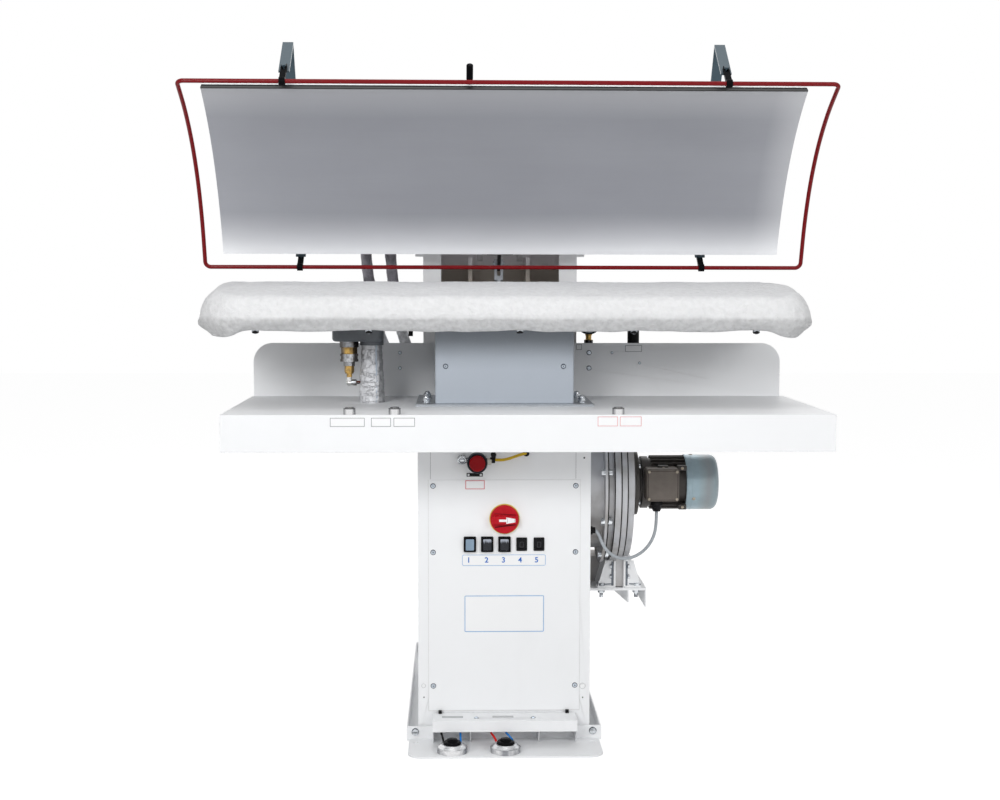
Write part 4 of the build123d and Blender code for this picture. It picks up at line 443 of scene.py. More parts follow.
def polished_plate():
    """Satin plate: hair-fine marks along it, cloudy middle, and painted reflections that make it paler
    towards its lower and upper rim and its right edge.
    """
    corner, (right, _, high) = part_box("head_plate")
    low = corner.z
    tall = high - low
    finish = Finish("polished_plate")
    hair = finish.noise(300.0, 3.0, (0.02, 1.0, 1.0))
    cloud = finish.noise(2.2, 4.0, (1.0, 1.0, 2.0))
    streaks = finish.band(finish.noise(16.0, 5.0, (0.08, 1.0, 1.0)), 0.4, 0.7)
    height = finish.along(2) + (cloud - 0.5) * 0.02
    # Painted reflections: paler along the lower rim, the upper rim and the right edge.
    rim = finish.band(height, low + 0.27 * tall, low + 0.02 * tall)
    painted_top_reflection = finish.band(height, high - 0.16 * tall, high)
    edge = finish.band(finish.along(0), right - 0.06, right - 0.005)
    crown = finish.band(finish.along(2), high - 0.0062, high - 0.0052)
    middle = finish.mix(finish.band(cloud, 0.3, 0.7), PLATE_GREY, darker(PLATE_GREY, 0.9))
    middle = finish.mix(painted_top_reflection * 0.45 + streaks * 0.05, middle, darker(PLATE_PAINTED_REFLECTION, 0.72))
    middle = finish.mix(edge * 0.4, middle, darker(PLATE_PAINTED_REFLECTION, 0.75))
    # Painted reflection of the floor along the lower rim.
    shade = finish.mix(rim * (0.35 + rim * 0.65), middle, PLATE_PAINTED_REFLECTION)
    finish.set({
        "Base Color": finish.mix(crown, shade, (0.02, 0.02, 0.02)),
        "Metallic": 0.25,
        "Roughness": finish.rough(hair, 0.4, 0.5) + streaks * 0.04,
        "Normal": finish.bump(hair, 0.00002),
    })


def pad_cloth():
    """White cotton: close waffle weave, soft crinkles and faint greying, with painted shade in the crinkles'
    low places and on the tucked-under band below the seam.
    """
    finish = Finish("pad_cloth")
    weave = finish.cells(520.0, (1.0, 1.0, 1.3))
    crinkle = finish.noise(95.0, 6.0)
    crease = finish.noise(30.0, 7.0, (1.0, 1.0, 1.6))
    grey = finish.band(finish.noise(6.0, 5.0), 0.35, 0.75)
    # Painted shade in the low places of the crinkles.
    painted_crinkle_shade = finish.band(crinkle, 0.3, 0.62, 1.0, 0.0)
    # Painted shade on the tucked-under band below the seam, which faces down.
    below = finish.band(finish.along(2) + (crease - 0.5) * 0.006, 0.877, 0.87)
    shade = finish.mix(grey * 0.35, CLOTH_WHITE, darker(CLOTH_WHITE, 0.93))
    shade = finish.mix(below * (0.55 + painted_crinkle_shade * 0.45), shade, darker(CLOTH_WHITE, 0.66))
    finish.set({
        "Base Color": finish.mix(painted_crinkle_shade * 0.26, shade, darker(CLOTH_WHITE, 0.74)),
        "Roughness": 0.93,
        "Specular IOR Level": 0.2,
        "Normal": finish.bump(weave * 0.3 + crinkle * 1.3 + crease * 1.5, 0.003, 1.0),
    })


def silver_cloth():
    """Silvered insulating cloth, crumpled, with a fine square weave; painted shade makes it darker right of
    its seam, towards its top and in its creases.
    """
    low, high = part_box("steam_sleeve")
    seam_x = low.x + (high.y - low.y) / 2 + 0.0135
    finish = Finish("sleeve_cloth")
    creases = finish.noise(62.0, 7.0, (1.0, 1.0, 0.9), 0.62)
    folds = finish.cells(75.0, (1.0, 1.0, 0.8))
    weave = finish.noise(900.0, 2.0)
    # Painted light and shade: lighter on the creases' ridges, darker between them.
    shine = finish.band(creases, 0.35, 0.68)
    # Painted shade on the side right of the seam.
    side = finish.band(finish.along(0) + (creases - 0.5) * 0.004, seam_x, seam_x + 0.003)
    # Painted shade towards the sleeve's top, under the board.
    upper = finish.band(finish.along(2) + (creases - 0.5) * 0.03, 0.715, 0.8)
    ridges = finish.node("Math", {"operation": "ABSOLUTE"},
                         {0: finish.noise(44.0, 3.0, (1.0, 1.0, 1.5), 0.6) - 0.5})
    # Painted shade along the crease lines.
    lines = finish.band(ridges, 0.004, 0.026, 1.0, 0.0)
    shade = finish.mix(shine, darker(SILVER_CLOTH, 0.84), SILVER_CLOTH)
    shade = finish.mix(lines * 0.4 + upper * 0.32, shade, darker(SILVER_CLOTH, 0.36))
    finish.set({
        "Base Color": finish.mix(side * 0.7, shade, darker(SILVER_CLOTH, 0.27)),
        "Metallic": 0.22,
        "Roughness": finish.band(shine, 0.0, 1.0, 0.56, 0.4),
        "Normal": finish.bump(creases * 1.3 + folds * 0.7 + weave * 0.05 - lines * 0.35, 0.0042),
    })


def stained_zinc():
    """Zinc-plated steel cowl: blue-grey bloom, paler and brighter towards its closed end."""
    low, high = (corner.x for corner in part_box("motor_cowl"))
    finish = Finish("cowl_zinc")
    bloom = finish.noise(24.0, 6.0)
    spots = finish.band(finish.noise(70.0, 5.0), 0.55, 0.75)
    bright = finish.band(finish.along(0) + (bloom - 0.5) * 0.016, low + 0.024, low + 0.046)
    ring = finish.band(finish.along(0), high - 0.022, high - 0.012)
    body = finish.mix(finish.band(bloom, 0.35, 0.7), ZINC_BLUE, darker(ZINC_BLUE, 0.8))
    body = finish.mix(bright * 0.8, body, ZINC_SILVER)
    body = finish.mix(ring * 0.5, body, darker(ZINC_BLUE, 0.8))
    finish.set({
        "Base Color": finish.mix(spots * 0.3, body, darker(ZINC_BLUE, 0.62)),
        "Metallic": 0.55,
        "Roughness": finish.rough(bloom, 0.32, 0.46),
        "Normal": finish.grain(300.0, 3.0, 0.00004),
    })


def stack_metal():
    """Steel and brass fittings one below the other, told apart by their height, with painted shade down their
    left and right sides.
    """
    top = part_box("fitting_stack")[1].z
    finish = Finish("stack_metal")
    # Painted shade: the fittings turn near black towards their left and right sides.
    painted_dark_sides = finish.band(finish.away([STACK_X]), 0.005, 0.0135)
    drop = top - finish.along(2)
    stain = finish.noise(130.0, 6.0)
    metal = (0.3, 0.31, 0.33)
    for depth, colour in STACK_STEPS:
        metal = finish.mix(finish.band(drop, depth - 0.0002, depth + 0.0002), metal, colour)
    metal = finish.mix(painted_dark_sides * 0.88, metal, (0.035, 0.03, 0.028))
    finish.set({
        "Base Color": finish.mix(finish.band(stain, 0.45, 0.72) * 0.75, metal, (0.07, 0.055, 0.04)),
        "Metallic": 0.92,
        "Roughness": finish.rough(stain, 0.24, 0.44),
        "Normal": finish.bump(stain, 0.0001),
    })


def chrome():
    """Bright chrome with painted dark reflections down its sides and a painted shadow as a dark rim on top.
    """
    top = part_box("push_button_left")[1].z
    finish = Finish("chrome_steel")
    boxes = [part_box("push_button_" + place) for place in ("left", "middle", "right")]
    # Painted reflections: darker towards each button's sides.
    painted_reflection_bands = finish.band(finish.away([(low.x + high.x) / 2 for low, high in boxes]), 0.0045, 0.0105)
    # Painted shadow: a dark rim just below the buttons' top.
    rim = finish.band(finish.along(2), top - 0.0042, top - 0.003)
    shade = finish.mix(painted_reflection_bands * 0.75, CHROME, (0.12, 0.125, 0.13))
    finish.set({
        "Base Color": finish.mix(rim * 0.85, shade, (0.06, 0.06, 0.065)),
        "Metallic": 0.95,
        "Roughness": finish.rough(finish.noise(300.0, 3.0), 0.1, 0.18),
        "Normal": finish.grain(500.0, 2.0, 0.00002),
    })


def turned_metal():
    """Turned aluminium: painted reflections as dark and bright streaks round it and a painted highlight on
    its top, with fine tool rings.
    """
    finish = Finish("turned_aluminium")
    # Painted reflections: dark streaks round the sides.
    painted_reflection_sweeps = finish.band(finish.noise(34.0, 3.0, (1.0, 1.0, 0.15)), 0.42, 0.6)
    rings = finish.noise(900.0, 2.0, (0.05, 0.05, 1.0))
    # Painted highlight: the top turns near white.
    upper = finish.band(finish.along(2), 0.0145, 0.016)
    shade = finish.mix(painted_reflection_sweeps * (0.85 - upper * 0.55), ALUMINIUM, (0.17, 0.18, 0.2))
    finish.set({
        "Base Color": finish.mix(upper * 0.6, shade, (0.93, 0.94, 0.95)),
        "Metallic": 0.95,
        "Roughness": finish.rough(rings, 0.2, 0.34),
        "Normal": finish.bump(rings, 0.00003),
    })


def hose_cloth():
    """Silvery insulated hose; painted shade makes it dark grey above the board and darker in its creases."""
    finish = Finish("hose_cloth")
    creases = finish.noise(60.0, 6.0, (1.0, 1.0, 0.75), 0.6)
    # Painted shade: dark grey above the board, silvery below it, and darker in the creases.
    silver = finish.band(finish.along(2) + (creases - 0.5) * 0.02, 0.905, 0.88)
    shade = finish.mix(silver, HOSE_SHADED_GREY, SILVER_CLOTH)
    painted_crease_shade = finish.mix(silver, darker(HOSE_SHADED_GREY, 0.55), darker(SILVER_CLOTH, 0.42))
    finish.set({
        "Base Color": finish.mix(finish.band(creases, 0.4, 0.66), shade, painted_crease_shade),
        "Metallic": 0.3,
        "Roughness": finish.rough(creases, 0.42, 0.6),
        "Specular IOR Level": 0.3,
        "Normal": finish.bump(creases, 0.0024, 0.9),
    })


def smoked_window():
    """Dark window of a switch cover, with light caught at its upper end."""
    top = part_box("rocker_covers")[1].z
    finish = Finish("smoke_cover")
    streak = finish.noise(200.0, 3.0, (2.0, 1.0, 0.4))
    light = finish.band(finish.along(2) + (streak - 0.5) * 0.01, top - 0.01, top - 0.005)
    finish.set({
        "Base Color": finish.mix(light * 0.8, (0.022, 0.024, 0.03), (0.46, 0.5, 0.58)),
        "Roughness": finish.rough(streak, 0.14, 0.24),
        "Specular IOR Level": 0.25,
        "Normal": finish.bump(streak, 0.00006),
    })


def clear_plastic():
    """Soft clear plastic with slight haze."""
    finish = Finish("clear_cover")
    haze = finish.noise(120.0, 3.0)
    finish.set({
        "Base Color": finish.mix(finish.band(haze, 0.3, 0.7), CLEAR_BLUE, darker(CLEAR_BLUE, 0.92)),
        "Roughness": finish.rough(haze, 0.11, 0.21),
        "Transmission Weight": 1.0,
        "IOR": 1.4,
        "Normal": finish.bump(haze, 0.00008),
    })


# Shapes

def link(name, data):
    """A new object in the scene."""
    item = bpy.data.objects.new(name, data)
    bpy.context.scene.collection.objects.link(item)
    return item


def dress(item, body, replaced=()):
    """Fastens a piece to its body and hides the CAD nodes that it stands for."""
    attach(item, body)
    if replaced:
        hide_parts(*replaced)
    return item


def turn_to(axis):
    """The turn that brings +Z onto an axis."""
    return Vector((0, 0, 1)).rotation_difference(Vector(axis)).to_matrix()


def rounded(low, high, corner, steps=5):
    """Outline of a rectangle with round corners, as (across, up) pairs."""
    outline = []
    centres = ((high[0] - corner, high[1] - corner), (low[0] + corner, high[1] - corner),
               (low[0] + corner, low[1] + corner), (high[0] - corner, low[1] + corner))
    for quarter, (x, z) in enumerate(centres):
        for step in range(steps + 1):
            angle = (quarter + step / steps) * pi / 2
            outline.append((x + corner * cos(angle), z + corner * sin(angle)))
    return outline


class Shape:
    """Faces of one piece, put together from turned, flat and bent parts."""

    def __init__(self):
        self.faces = bmesh.new()

    def bridge(self, first, second):
        """Faces between two rings; a ring of one corner makes a cap."""
        count = max(len(first), len(second))
        for step in range(count):
            after = (step + 1) % count
            corners = []
            for corner in (first[step % len(first)], first[after % len(first)],
                           second[after % len(second)], second[step % len(second)]):
                if corner not in corners:
                    corners.append(corner)
            if len(corners) > 2:
                self.faces.faces.new(corners)

    def turned(self, place, axis, profile, steps=24, phase=0.0):
        """A turned part of (distance along the axis, radius) rows; a third number is its teeth's height."""
        turn = turn_to(axis)
        last = None
        for along, radius, *tooth in profile:
            count = steps if radius > 0 else 1
            ring = []
            for step in range(count):
                reach = radius + (tooth[0] if tooth and step % 4 < 2 else 0.0)
                angle = phase + 2 * pi * step / count
                spot = turn @ Vector((reach * cos(angle), reach * sin(angle), along))
                ring.append(self.faces.verts.new(Vector(place) + spot))
            if last:
                self.bridge(last, ring)
            last = ring

    def bar(self, place, axis, length, radius, steps=24, edge=0.0, phase=0.0):
        """A round or many-sided bar with broken edges, from a place along an axis."""
        self.turned(place, axis, ((0, 0), (0, radius - edge), (edge, radius), (length - edge, radius),
                                  (length, radius - edge), (length, 0)), steps, phase)

    def ring(self, place, axis, inner, outer, height, steps):
        """A flat ring."""
        self.turned(place, axis, ((0, inner), (0, outer), (height, outer), (height, inner)), steps)

    def rim(self, place, axis, inner, outer, height, steps):
        """A flat ring that is open where it stands on its face."""
        self.turned(place, axis, ((0, inner), (height, inner), (height, outer), (0, outer)), steps)

    def disc(self, place, axis, radius, height, steps):
        """A flat disc, open where it stands on its face."""
        self.turned(place, axis, ((0, radius), (height, radius), (height, 0)), steps)

    def screw(self, place, axis, radius, height):
        """A domed screw head with a round recess."""
        rows = ((0, 0), (0, 1), (0.35, 1), (0.75, 0.86), (1, 0.56), (1, 0.42), (0.45, 0.3), (0.45, 0))
        self.turned(place, axis, [(up * height, out * radius) for up, out in rows], 20)

    def block(self, low, high, edge=0.0, turn=None):
        """A straight block with broken edges; it may be turned about its middle."""
        corners = bmesh.ops.create_cube(self.faces, size=1.0)["verts"]
        middle = (Vector(low) + Vector(high)) / 2
        size = Vector(high) - Vector(low)
        for corner in corners:
            corner.co = Vector((corner.co.x * size.x, corner.co.y * size.y, corner.co.z * size.z))
        edges = list({side for corner in corners for side in corner.link_edges})
        if edge:
            made = bmesh.ops.bevel(self.faces, geom=edges, offset=edge, segments=2, profile=0.5,
                                   affect="EDGES")
            corners = list({corner for face in made["faces"] for corner in face.verts})
        for corner in corners:
            corner.co = middle + (turn @ corner.co if turn else corner.co)

    def prism(self, outline, low, high, face):
        """An outline of X and Z pairs on a face that looks to the front, from low to high before it."""
        first, second = ([self.faces.verts.new((x, face - depth, z)) for x, z in outline]
                         for depth in (low, high))
        self.bridge(first, second)
        self.faces.faces.new(list(reversed(first)))
        self.faces.faces.new(second)

    def border(self, low, high, corner, width, face, rise):
        """A thin raised line round a plate on a face that looks to the front."""
        outer = rounded(low, high, corner)
        inner = rounded((low[0] + width, low[1] + width), (high[0] - width, high[1] - width),
                        max(corner - width, 0.0003))
        rings = []
        for outline, y in ((outer, face), (outer, face - rise), (inner, face - rise), (inner, face)):
            rings.append([self.faces.verts.new((x, y, z)) for x, z in outline])
        for first, second in zip(rings, rings[1:]):
            self.bridge(first, second)

    def bent(self, path, radius, steps=16, swell=None):
        """A tube along a path; swell adds to its radius by the ring's number and the angle."""
        side = None
        last = None
        rings = []
        for index, place in enumerate(path):
            ahead = (path[min(index + 1, len(path) - 1)] - path[max(index - 1, 0)]).normalized()
            side = ahead.orthogonal() if side is None else side
            side = (side - ahead * side.dot(ahead)).normalized()
            up = ahead.cross(side)
            ring = []
            for step in range(steps):
                angle = 2 * pi * step / steps
                reach = radius + (swell(index, angle) if swell else 0.0)
                ring.append(self.faces.verts.new(place + side * reach * cos(angle) + up * reach * sin(angle)))
            if last:
                self.bridge(last, ring)
            last = ring
            rings.append(ring)
        self.faces.faces.new(list(reversed(rings[0])))
        self.faces.faces.new(rings[-1])

    def words(self, text, place, size):
        """Flat letters on a face that looks to the front."""
        data = bpy.data.curves.new("letters", "FONT")
        data.body = text
        data.size = size
        data.align_x = "CENTER"
        data.align_y = "CENTER"
        data.extrude = 0.0001
        data.offset = size * 0.018
        item = link("letters", data)
        item.matrix_world = Matrix.Translation(place) @ Matrix.Rotation(pi / 2, 4, "X")
        bpy.context.view_layer.update()
        mesh = bpy.data.meshes.new_from_object(item)
        mesh.transform(item.matrix_world)
        self.faces.from_mesh(mesh)
        bpy.data.objects.remove(item)
        bpy.data.meshes.remove(mesh)

    def mesh(self, name, finish, smooth=35.0):
        """The finished mesh, smooth but for its sharp edges."""
        bmesh.ops.recalc_face_normals(self.faces, faces=self.faces.faces)
        data = bpy.data.meshes.new(name)
        self.faces.to_mesh(data)
        self.faces.free()
        data.materials.append(finishes[finish])
        data.shade_smooth()
        data.set_sharp_from_angle(angle=radians(smooth))
        return link(name, data)

    def piece(self, name, finish, slot, body="root", replaced=(), smooth=35.0):
        """The finished piece, fastened to its body."""
        return dress(self.mesh(name, finish, smooth), body, replaced)


def route(name, points, radius=0.0):
    """A smooth curve with a route's points as its control points."""
    data = bpy.data.curves.new(name, "CURVE")
    data.dimensions = "3D"
    data.resolution_u = 12
    spline = data.splines.new("NURBS")
    spline.points.add(len(points) - 1)
    for spot, place in zip(spline.points, points):
        spot.co = (*place, 1.0)
    spline.order_u = 3
    spline.use_endpoint_u = True
    data.bevel_depth = radius
    data.bevel_resolution = 5
    data.use_fill_caps = True
    return link(name, data)


def path_of(points):
    """Places close together along a route's smooth curve."""
    item = route("path", points)
    mesh = bpy.data.meshes.new_from_object(item)
    path = [vert.co.copy() for vert in mesh.vertices]
    bpy.data.objects.remove(item)
    bpy.data.meshes.remove(mesh)
    return path


def length_of(path):
    """Length along a path, in metres."""
    return sum((after - before).length for before, after in zip(path, path[1:]))


def cord(name, points, radius, finish, replaced):
    """A round cord along a route; its real length is worked out but not kept."""
    item = route(name, points, radius)
    item.data.materials.append(finishes[finish])
    dress(item, "root", (replaced,))
    round(length_of(path_of(points)), 4)


def paint(names, material):
    """Gives CAD nodes their finish."""
    for name in names:
        data = nodes[name].data
        data.materials.clear()
        data.materials.append(material)


def soften(names, width):
    """Breaks the sharp edges of CAD nodes."""
    for name in names:
        item = nodes[name]
        weld = item.modifiers.new("weld", "WELD")
        weld.merge_threshold = 0.00001
        bevel = item.modifiers.new("edges", "BEVEL")
        bevel.width = width
        bevel.segments = 2
        bevel.limit_method = "ANGLE"
        bevel.angle_limit = radians(40)
        bevel.harden_normals = True


# Soft pieces

def board_outline(half, corner, spacing=0.0072):
    """Places and outward directions round the board's plan, evenly spaced."""
    straight = (half[0] - corner, half[1] - corner)
    spots = []
    quarters = ((1, 1), (-1, 1), (-1, -1), (1, -1))
    bend = max(6, round(corner * pi / 2 / spacing))
    for quarter, (side_x, side_y) in enumerate(quarters):
        centre = Vector((side_x * straight[0], side_y * straight[1]))
        for step in range(bend):
            angle = (quarter + step / bend) * pi / 2
            way = Vector((cos(angle), sin(angle)))
            spots.append((centre + way * corner, way))
        way = Vector((cos((quarter + 1) * pi / 2), sin((quarter + 1) * pi / 2)))
        after = quarters[(quarter + 1) % 4]
        start = centre + way * corner
        end = Vector((after[0] * straight[0], after[1] * straight[1])) + way * corner
        runs = max(2, round((end - start).length / spacing))
        spots.extend((start.lerp(end, step / runs), way) for step in range(runs))
    return spots


def ease(value, low, high):
    """0 below low, 1 above high and smooth between them."""
    share = min(max((value - low) / (high - low), 0.0), 1.0)
    return share * share * (3 - 2 * share)


def crown_height(across):
    """Height of the board's arched top at a distance from its middle line."""
    return BOARD_CROWN - BOARD_ARC + sqrt(BOARD_ARC ** 2 - across ** 2)


def hem_height(x, front):
    """Height of the cover's lower edge: held up at the hooks, slack between them, drooping at the ends."""
    ends = ease(abs(x), 0.5, 0.58) * (1 - 0.75 * ease(abs(x), 0.592, 0.613))
    held = max(1.0 - abs(x - place) / 0.05 for place in HOOK_PLACES)
    slack = 0.003 * (1.0 - max(held, 0.0)) if front else 0.0015
    wave = 0.0022 * noise.noise(Vector((x * 19.0, 7.0 if front else 2.0, 0.5)))
    return HEM_HEIGHT - slack - 0.0125 * ends + wave * (1.0 + ends)


def seam_height(x):
    """Height of the cover's sewn edge, below which the cloth turns inward."""
    return SEAM_HEIGHT - 0.014 * ease(abs(x), 0.3, 0.62)


def cover_rings():
    """Rings of the cover from its middle line over the shoulder and side to the tucked hem."""
    spots = board_outline(BOARD_HALF, BOARD_CORNER)
    spine = BOARD_HALF[0] - BOARD_HALF[1]
    rings = [[] for _ in range(TOP_RINGS + SHOULDER_RINGS + SIDE_RINGS + 3)]
    for spot, way in spots:
        end = way.x ** 2
        shoulder, drop = (BOARD_SHOULDER + (reach - BOARD_SHOULDER) * end for reach in BOARD_END)
        start = spot - way * shoulder
        middle = Vector((max(-spine, min(spine, spot.x)), 0.0))
        place = 0
        for step in range(TOP_RINGS):
            flat = middle.lerp(start, (step + 0.02) / TOP_RINGS)
            rings[place].append((flat, crown_height(flat.y), way, "top"))
            place += 1
        top = crown_height(start.y)
        low = hem_height(spot.x, spot.y < 0)
        for step in range(SHOULDER_RINGS):
            angle = step / SHOULDER_RINGS * pi / 2
            flat = start + way * shoulder * sin(angle)
            rings[place].append((flat, top - drop * (1 - cos(angle)), way, "top"))
            place += 1
        bottom = top - drop
        tuck = 0.019 + 0.003 * end
        seam = seam_height(spot.x)
        for step in range(SIDE_RINGS):
            share = step / (SIDE_RINGS - 1)
            height = bottom + (low - bottom) * share
            under = max(seam - height, 0.0) / (seam - low)
            lean = 0.0015 * sin(share * pi) - tuck * under ** 1.25
            rings[place].append((spot + way * lean, height, way, "side"))
            place += 1
        for inset, lift in ((tuck + 0.004, -0.0012), (tuck + 0.012, 0.0), (0.04, 0.0025)):
            height = TUCK_HEIGHT if inset >= 0.04 else low + lift
            rings[place].append((spot - way * inset, height, way, "hem"))
            place += 1
    return rings


def cover_place(flat, height, way, part, seam):
    """One point of the cover, moved by the folds of the cloth."""
    x, y = flat
    spot = Vector((x, y, height))
    along = x * way.y - y * way.x + 0.35 * way.x
    crumple = noise.noise(spot * 24.0) * 0.0013 + noise.noise(spot * 61.0) * 0.0007
    if part == "top":
        pulled = ease(abs(x), 0.42, 0.58)
        crumple += noise.noise(Vector((x * 9.0, y * 4.0, 5.0))) * 0.0016 - 0.0008
        crumple = min(crumple, 0.0)
        return spot + Vector((0, 0, 1)) * crumple * (0.8 + pulled) + Vector((*way, 0)) * crumple * 0.4
    ends = ease(abs(x), 0.5, 0.6)
    below = ease(height, seam + 0.004, seam - 0.008)
    fold = noise.noise(Vector((along * 62.0, height * 7.0, 1.5)))
    gather = noise.noise(Vector((along * 130.0, height * 12.0, 9.5)))
    drape = noise.noise(Vector((along * 17.0, height * 14.0, 4.5)))
    push = crumple + drape * 0.0024 + fold * (0.0008 + 0.0024 * below) + gather * 0.0012 * below
    push += fold * 0.0022 * ends - 0.0016 * (1 - min(abs(height - seam) / 0.0035, 1.0))
    push -= 0.0008 * below
    if part == "hem":
        push *= 0.4
    return spot + Vector((*way, 0)) * push


def board_cover():
    """Padded cover of the board."""
    shape = Shape()
    rings = []
    for row in cover_rings():
        ring = []
        for flat, height, way, part in row:
            spot = cover_place(flat, height, way, part, seam_height(flat.x))
            spot.x += BOARD_MIDDLE_X
            spot.y += BOARD_MIDDLE_Y
            ring.append(shape.faces.verts.new(spot))
        rings.append(ring)
    for first, second in zip(rings, rings[1:]):
        shape.bridge(first, second)
    shape.faces.faces.new(rings[-1])
    bmesh.ops.remove_doubles(shape.faces, verts=rings[0], dist=0.0009)
    item = shape.piece("quilted_cover", "pad_cloth", "pad_cloth", "root", ("board_cover",), smooth=180.0)


def sleeve_path():
    """Middle of the steam sleeve: down through the tray, then round to the cabinet's side."""
    low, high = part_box("steam_sleeve")
    radius = (high.y - low.y) / 2
    x, y = low.x + radius, (low.y + high.y) / 2
    pipe_z = low.z + radius
    bend = SLEEVE_BEND
    fall, run = SLEEVE_STEPS
    path = [Vector((x, y, high.z - fall * step)) for step in range(int((high.z - pipe_z - bend) / fall))]
    for step in range(1, 13):
        angle = step / 12 * pi / 2
        path.append(Vector((x + bend * (1 - cos(angle)), y, pipe_z + bend * (1 - sin(angle)))))
    path.extend(Vector((x + bend + run * step, y, pipe_z))
                for step in range(1, int((high.x - x - bend) / run) + 1))
    return path, radius


def steam_sleeve():
    """Crumpled insulating sleeve with a sewn seam down its front."""
    path, radius = sleeve_path()

    def swell(index, angle):
        place = path[index]
        twisted = angle + place.z * 34.0
        turn = Vector((cos(twisted), sin(twisted), 0)) * 1.5
        fold = noise.noise(Vector((turn.x, turn.y, place.z * 34.0)))
        ridge = noise.noise(Vector((turn.x * 1.3, turn.y * 1.3, place.z * 52.0 + 7.0)))
        crease = 1.0 - min(abs(ridge) * 5, 1.0)
        small = noise.noise(Vector((turn.x * 3.0, turn.y * 3.0, place.z * 95.0)))
        spread = 0.004 * ease(place.z, 0.795, 0.735) - 0.0048
        return spread + fold * 0.0017 + crease * 0.0017 + small * 0.0011

    shape = Shape()
    shape.bent(path, radius, 72, swell)
    sleeve = shape.piece("sleeve_cover", "sleeve_cloth", "sleeve_cloth", "root", ("steam_sleeve",), 70.0)

    seam = Shape()
    out = Vector((SLEEVE_SEAM, 0.0026 - sqrt(radius ** 2 - SLEEVE_SEAM ** 2), 0))
    front = [place + out for place in path[:40]]
    line = [place + Vector((0.0006 * sin(step * 1.1), 0.0004 * cos(step * 1.7) - 0.0006, 0))
            for step, place in enumerate(front)]
    seam.bent(line, 0.0017, 10)
    seam.piece("sleeve_seam", "seam_tape", "sleeve_cloth")


def steam_hoses():
    """Two insulated hoses from the column up to the head."""
    manifold_y = (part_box("steam_manifold")[0].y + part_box("steam_manifold")[1].y) / 2
    low_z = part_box("steam_manifold")[1].z
    y, z = HOSE_TOP
    for number, (name, top_x, low_x) in enumerate(HOSES):
        span = low_x - top_x
        points = ((top_x, y, z), (top_x, y + 0.0323, z - 0.0382),
                  (top_x + 0.16 * span, y + 0.0545, z - 0.0935),
                  (top_x + 0.42 * span, y + 0.057, z - 0.148),
                  (top_x + 0.72 * span, y + 0.054, z - 0.2),
                  (low_x, manifold_y, low_z + 0.036), (low_x, manifold_y, low_z))
        path = path_of(points)

        def swell(index, angle, number=number, path=path):
            place = path[index]
            turn = Vector((cos(angle), sin(angle), number * 3.0)) * 1.2
            fold = noise.noise(turn * 1.2 + Vector((0, 0, place.z * 60.0)))
            small = noise.noise(turn * 3.0 + Vector((0, 0, place.z * 150.0)))
            return -0.0014 + fold * 0.0016 + small * 0.0007

        shape = Shape()
        shape.bent(path, HOSE_RADIUS, 28, swell)
        hose = shape.mesh("hose_" + name, "hose_cloth", 70.0)
        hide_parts("steam_hoses")
        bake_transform(hose)

        band = Shape()
        band.ring((low_x, manifold_y, low_z + 0.006), UP, 0.0128, 0.0146, 0.009, 32)
        band.block((low_x - 0.006, manifold_y - 0.0195, low_z + 0.006),
                   (low_x + 0.006, manifold_y - 0.0135, low_z + 0.015), 0.001)
        band.piece("hose_clamp_" + name, "zinc_steel", "zinc_steel")


def cords():
    """Motor cable, air tube and the four tubes to the pedal valves."""
    cord("motor_lead", MOTOR_CABLE, 0.0033, "cable_sheath", "motor_cable")
    cord("yellow_tube", AIR_TUBE, 0.003, "tube_yellow", "air_tubes")
    for number, (near, shift, colour) in enumerate(PEDAL_TUBES, 1):
        points = [(near + share * shift, y, z) for share, y, z in PEDAL_ROUTE]
        cord("pedal_tube_" + str(number), points, 0.0022, "tube_" + colour, "air_tubes")


# Front panel and cabinet

def turned_piece(name, finish, slot, place, axis, steps, profile):
    """A piece of one turned part."""
    shape = Shape()
    shape.turned(place, axis, profile, steps)
    shape.piece(name, finish, slot)


def bar_piece(name, finish, slot, place, axis, *sizes):
    """A piece of one bar."""
    shape = Shape()
    shape.bar(place, axis, *sizes)
    shape.piece(name, finish, slot)


def screw_places():
    """Place, direction and radius of each screw with a cross recess."""
    places = []
    for side in (-1, 1):
        places += [((0.146 * side, PANEL_FACE, z), FRONT, 0.0046) for z in PANEL_SCREW_HEIGHTS]
        places.append(((0.12 * side, POST_FACE, 0.773), FRONT, 0.0044))
        places.append(((0.058 * side, -0.37, HOOD_TOP), UP, 0.0042))
    return places + [((x, SPLASH_FACE, z), FRONT, radius) for x, z, radius in SPLASH_SCREWS]


def panel_screws():
    """Domed screws with a cross recess darkened by painted shade and a painted shadow ring round each head;
    they stand for the small screws of the solids.
    """
    shape, painted_shade_marks = Shape(), Shape()
    height = 0.0026
    for place, axis, radius in screw_places():
        recess = (0.16 * radius, 0.27 * radius)
        shape.turned(place, axis, ((0, 0), (0, radius), (0.3 * height, radius), (0.7 * height, 0.88 * radius),
                                   (height, 0.62 * radius)), 16)
        shape.turned(Vector(place) + Vector(axis) * height, axis,
                     ((0, 0.62 * radius), (0, 0.18 * radius, 0.3 * radius),
                      (-0.6 * height, 0.14 * radius, 0.24 * radius), (-0.6 * height, 0)), 16)
        # Painted shadow ring round each head, then painted shade in each recess.
        painted_shade_marks.turned(place, axis, ((0, 0.98 * radius), (0, 1.22 * radius), (0.0003, 1.18 * radius),
                                   (0.0003, 0.98 * radius)), 24)
        painted_shade_marks.turned(Vector(place) + Vector(axis) * 0.6 * height, axis,
                     ((0, 0), (0, *recess), (0.0002, *recess), (0.0002, 0)), 16)
    shape.piece("cross_screws", "cross_steel", "zinc_steel", "root", ("small_screws",), smooth=30.0)
    painted_shade_marks.piece("screw_painted_shade", "slate_blue", "zinc_steel")


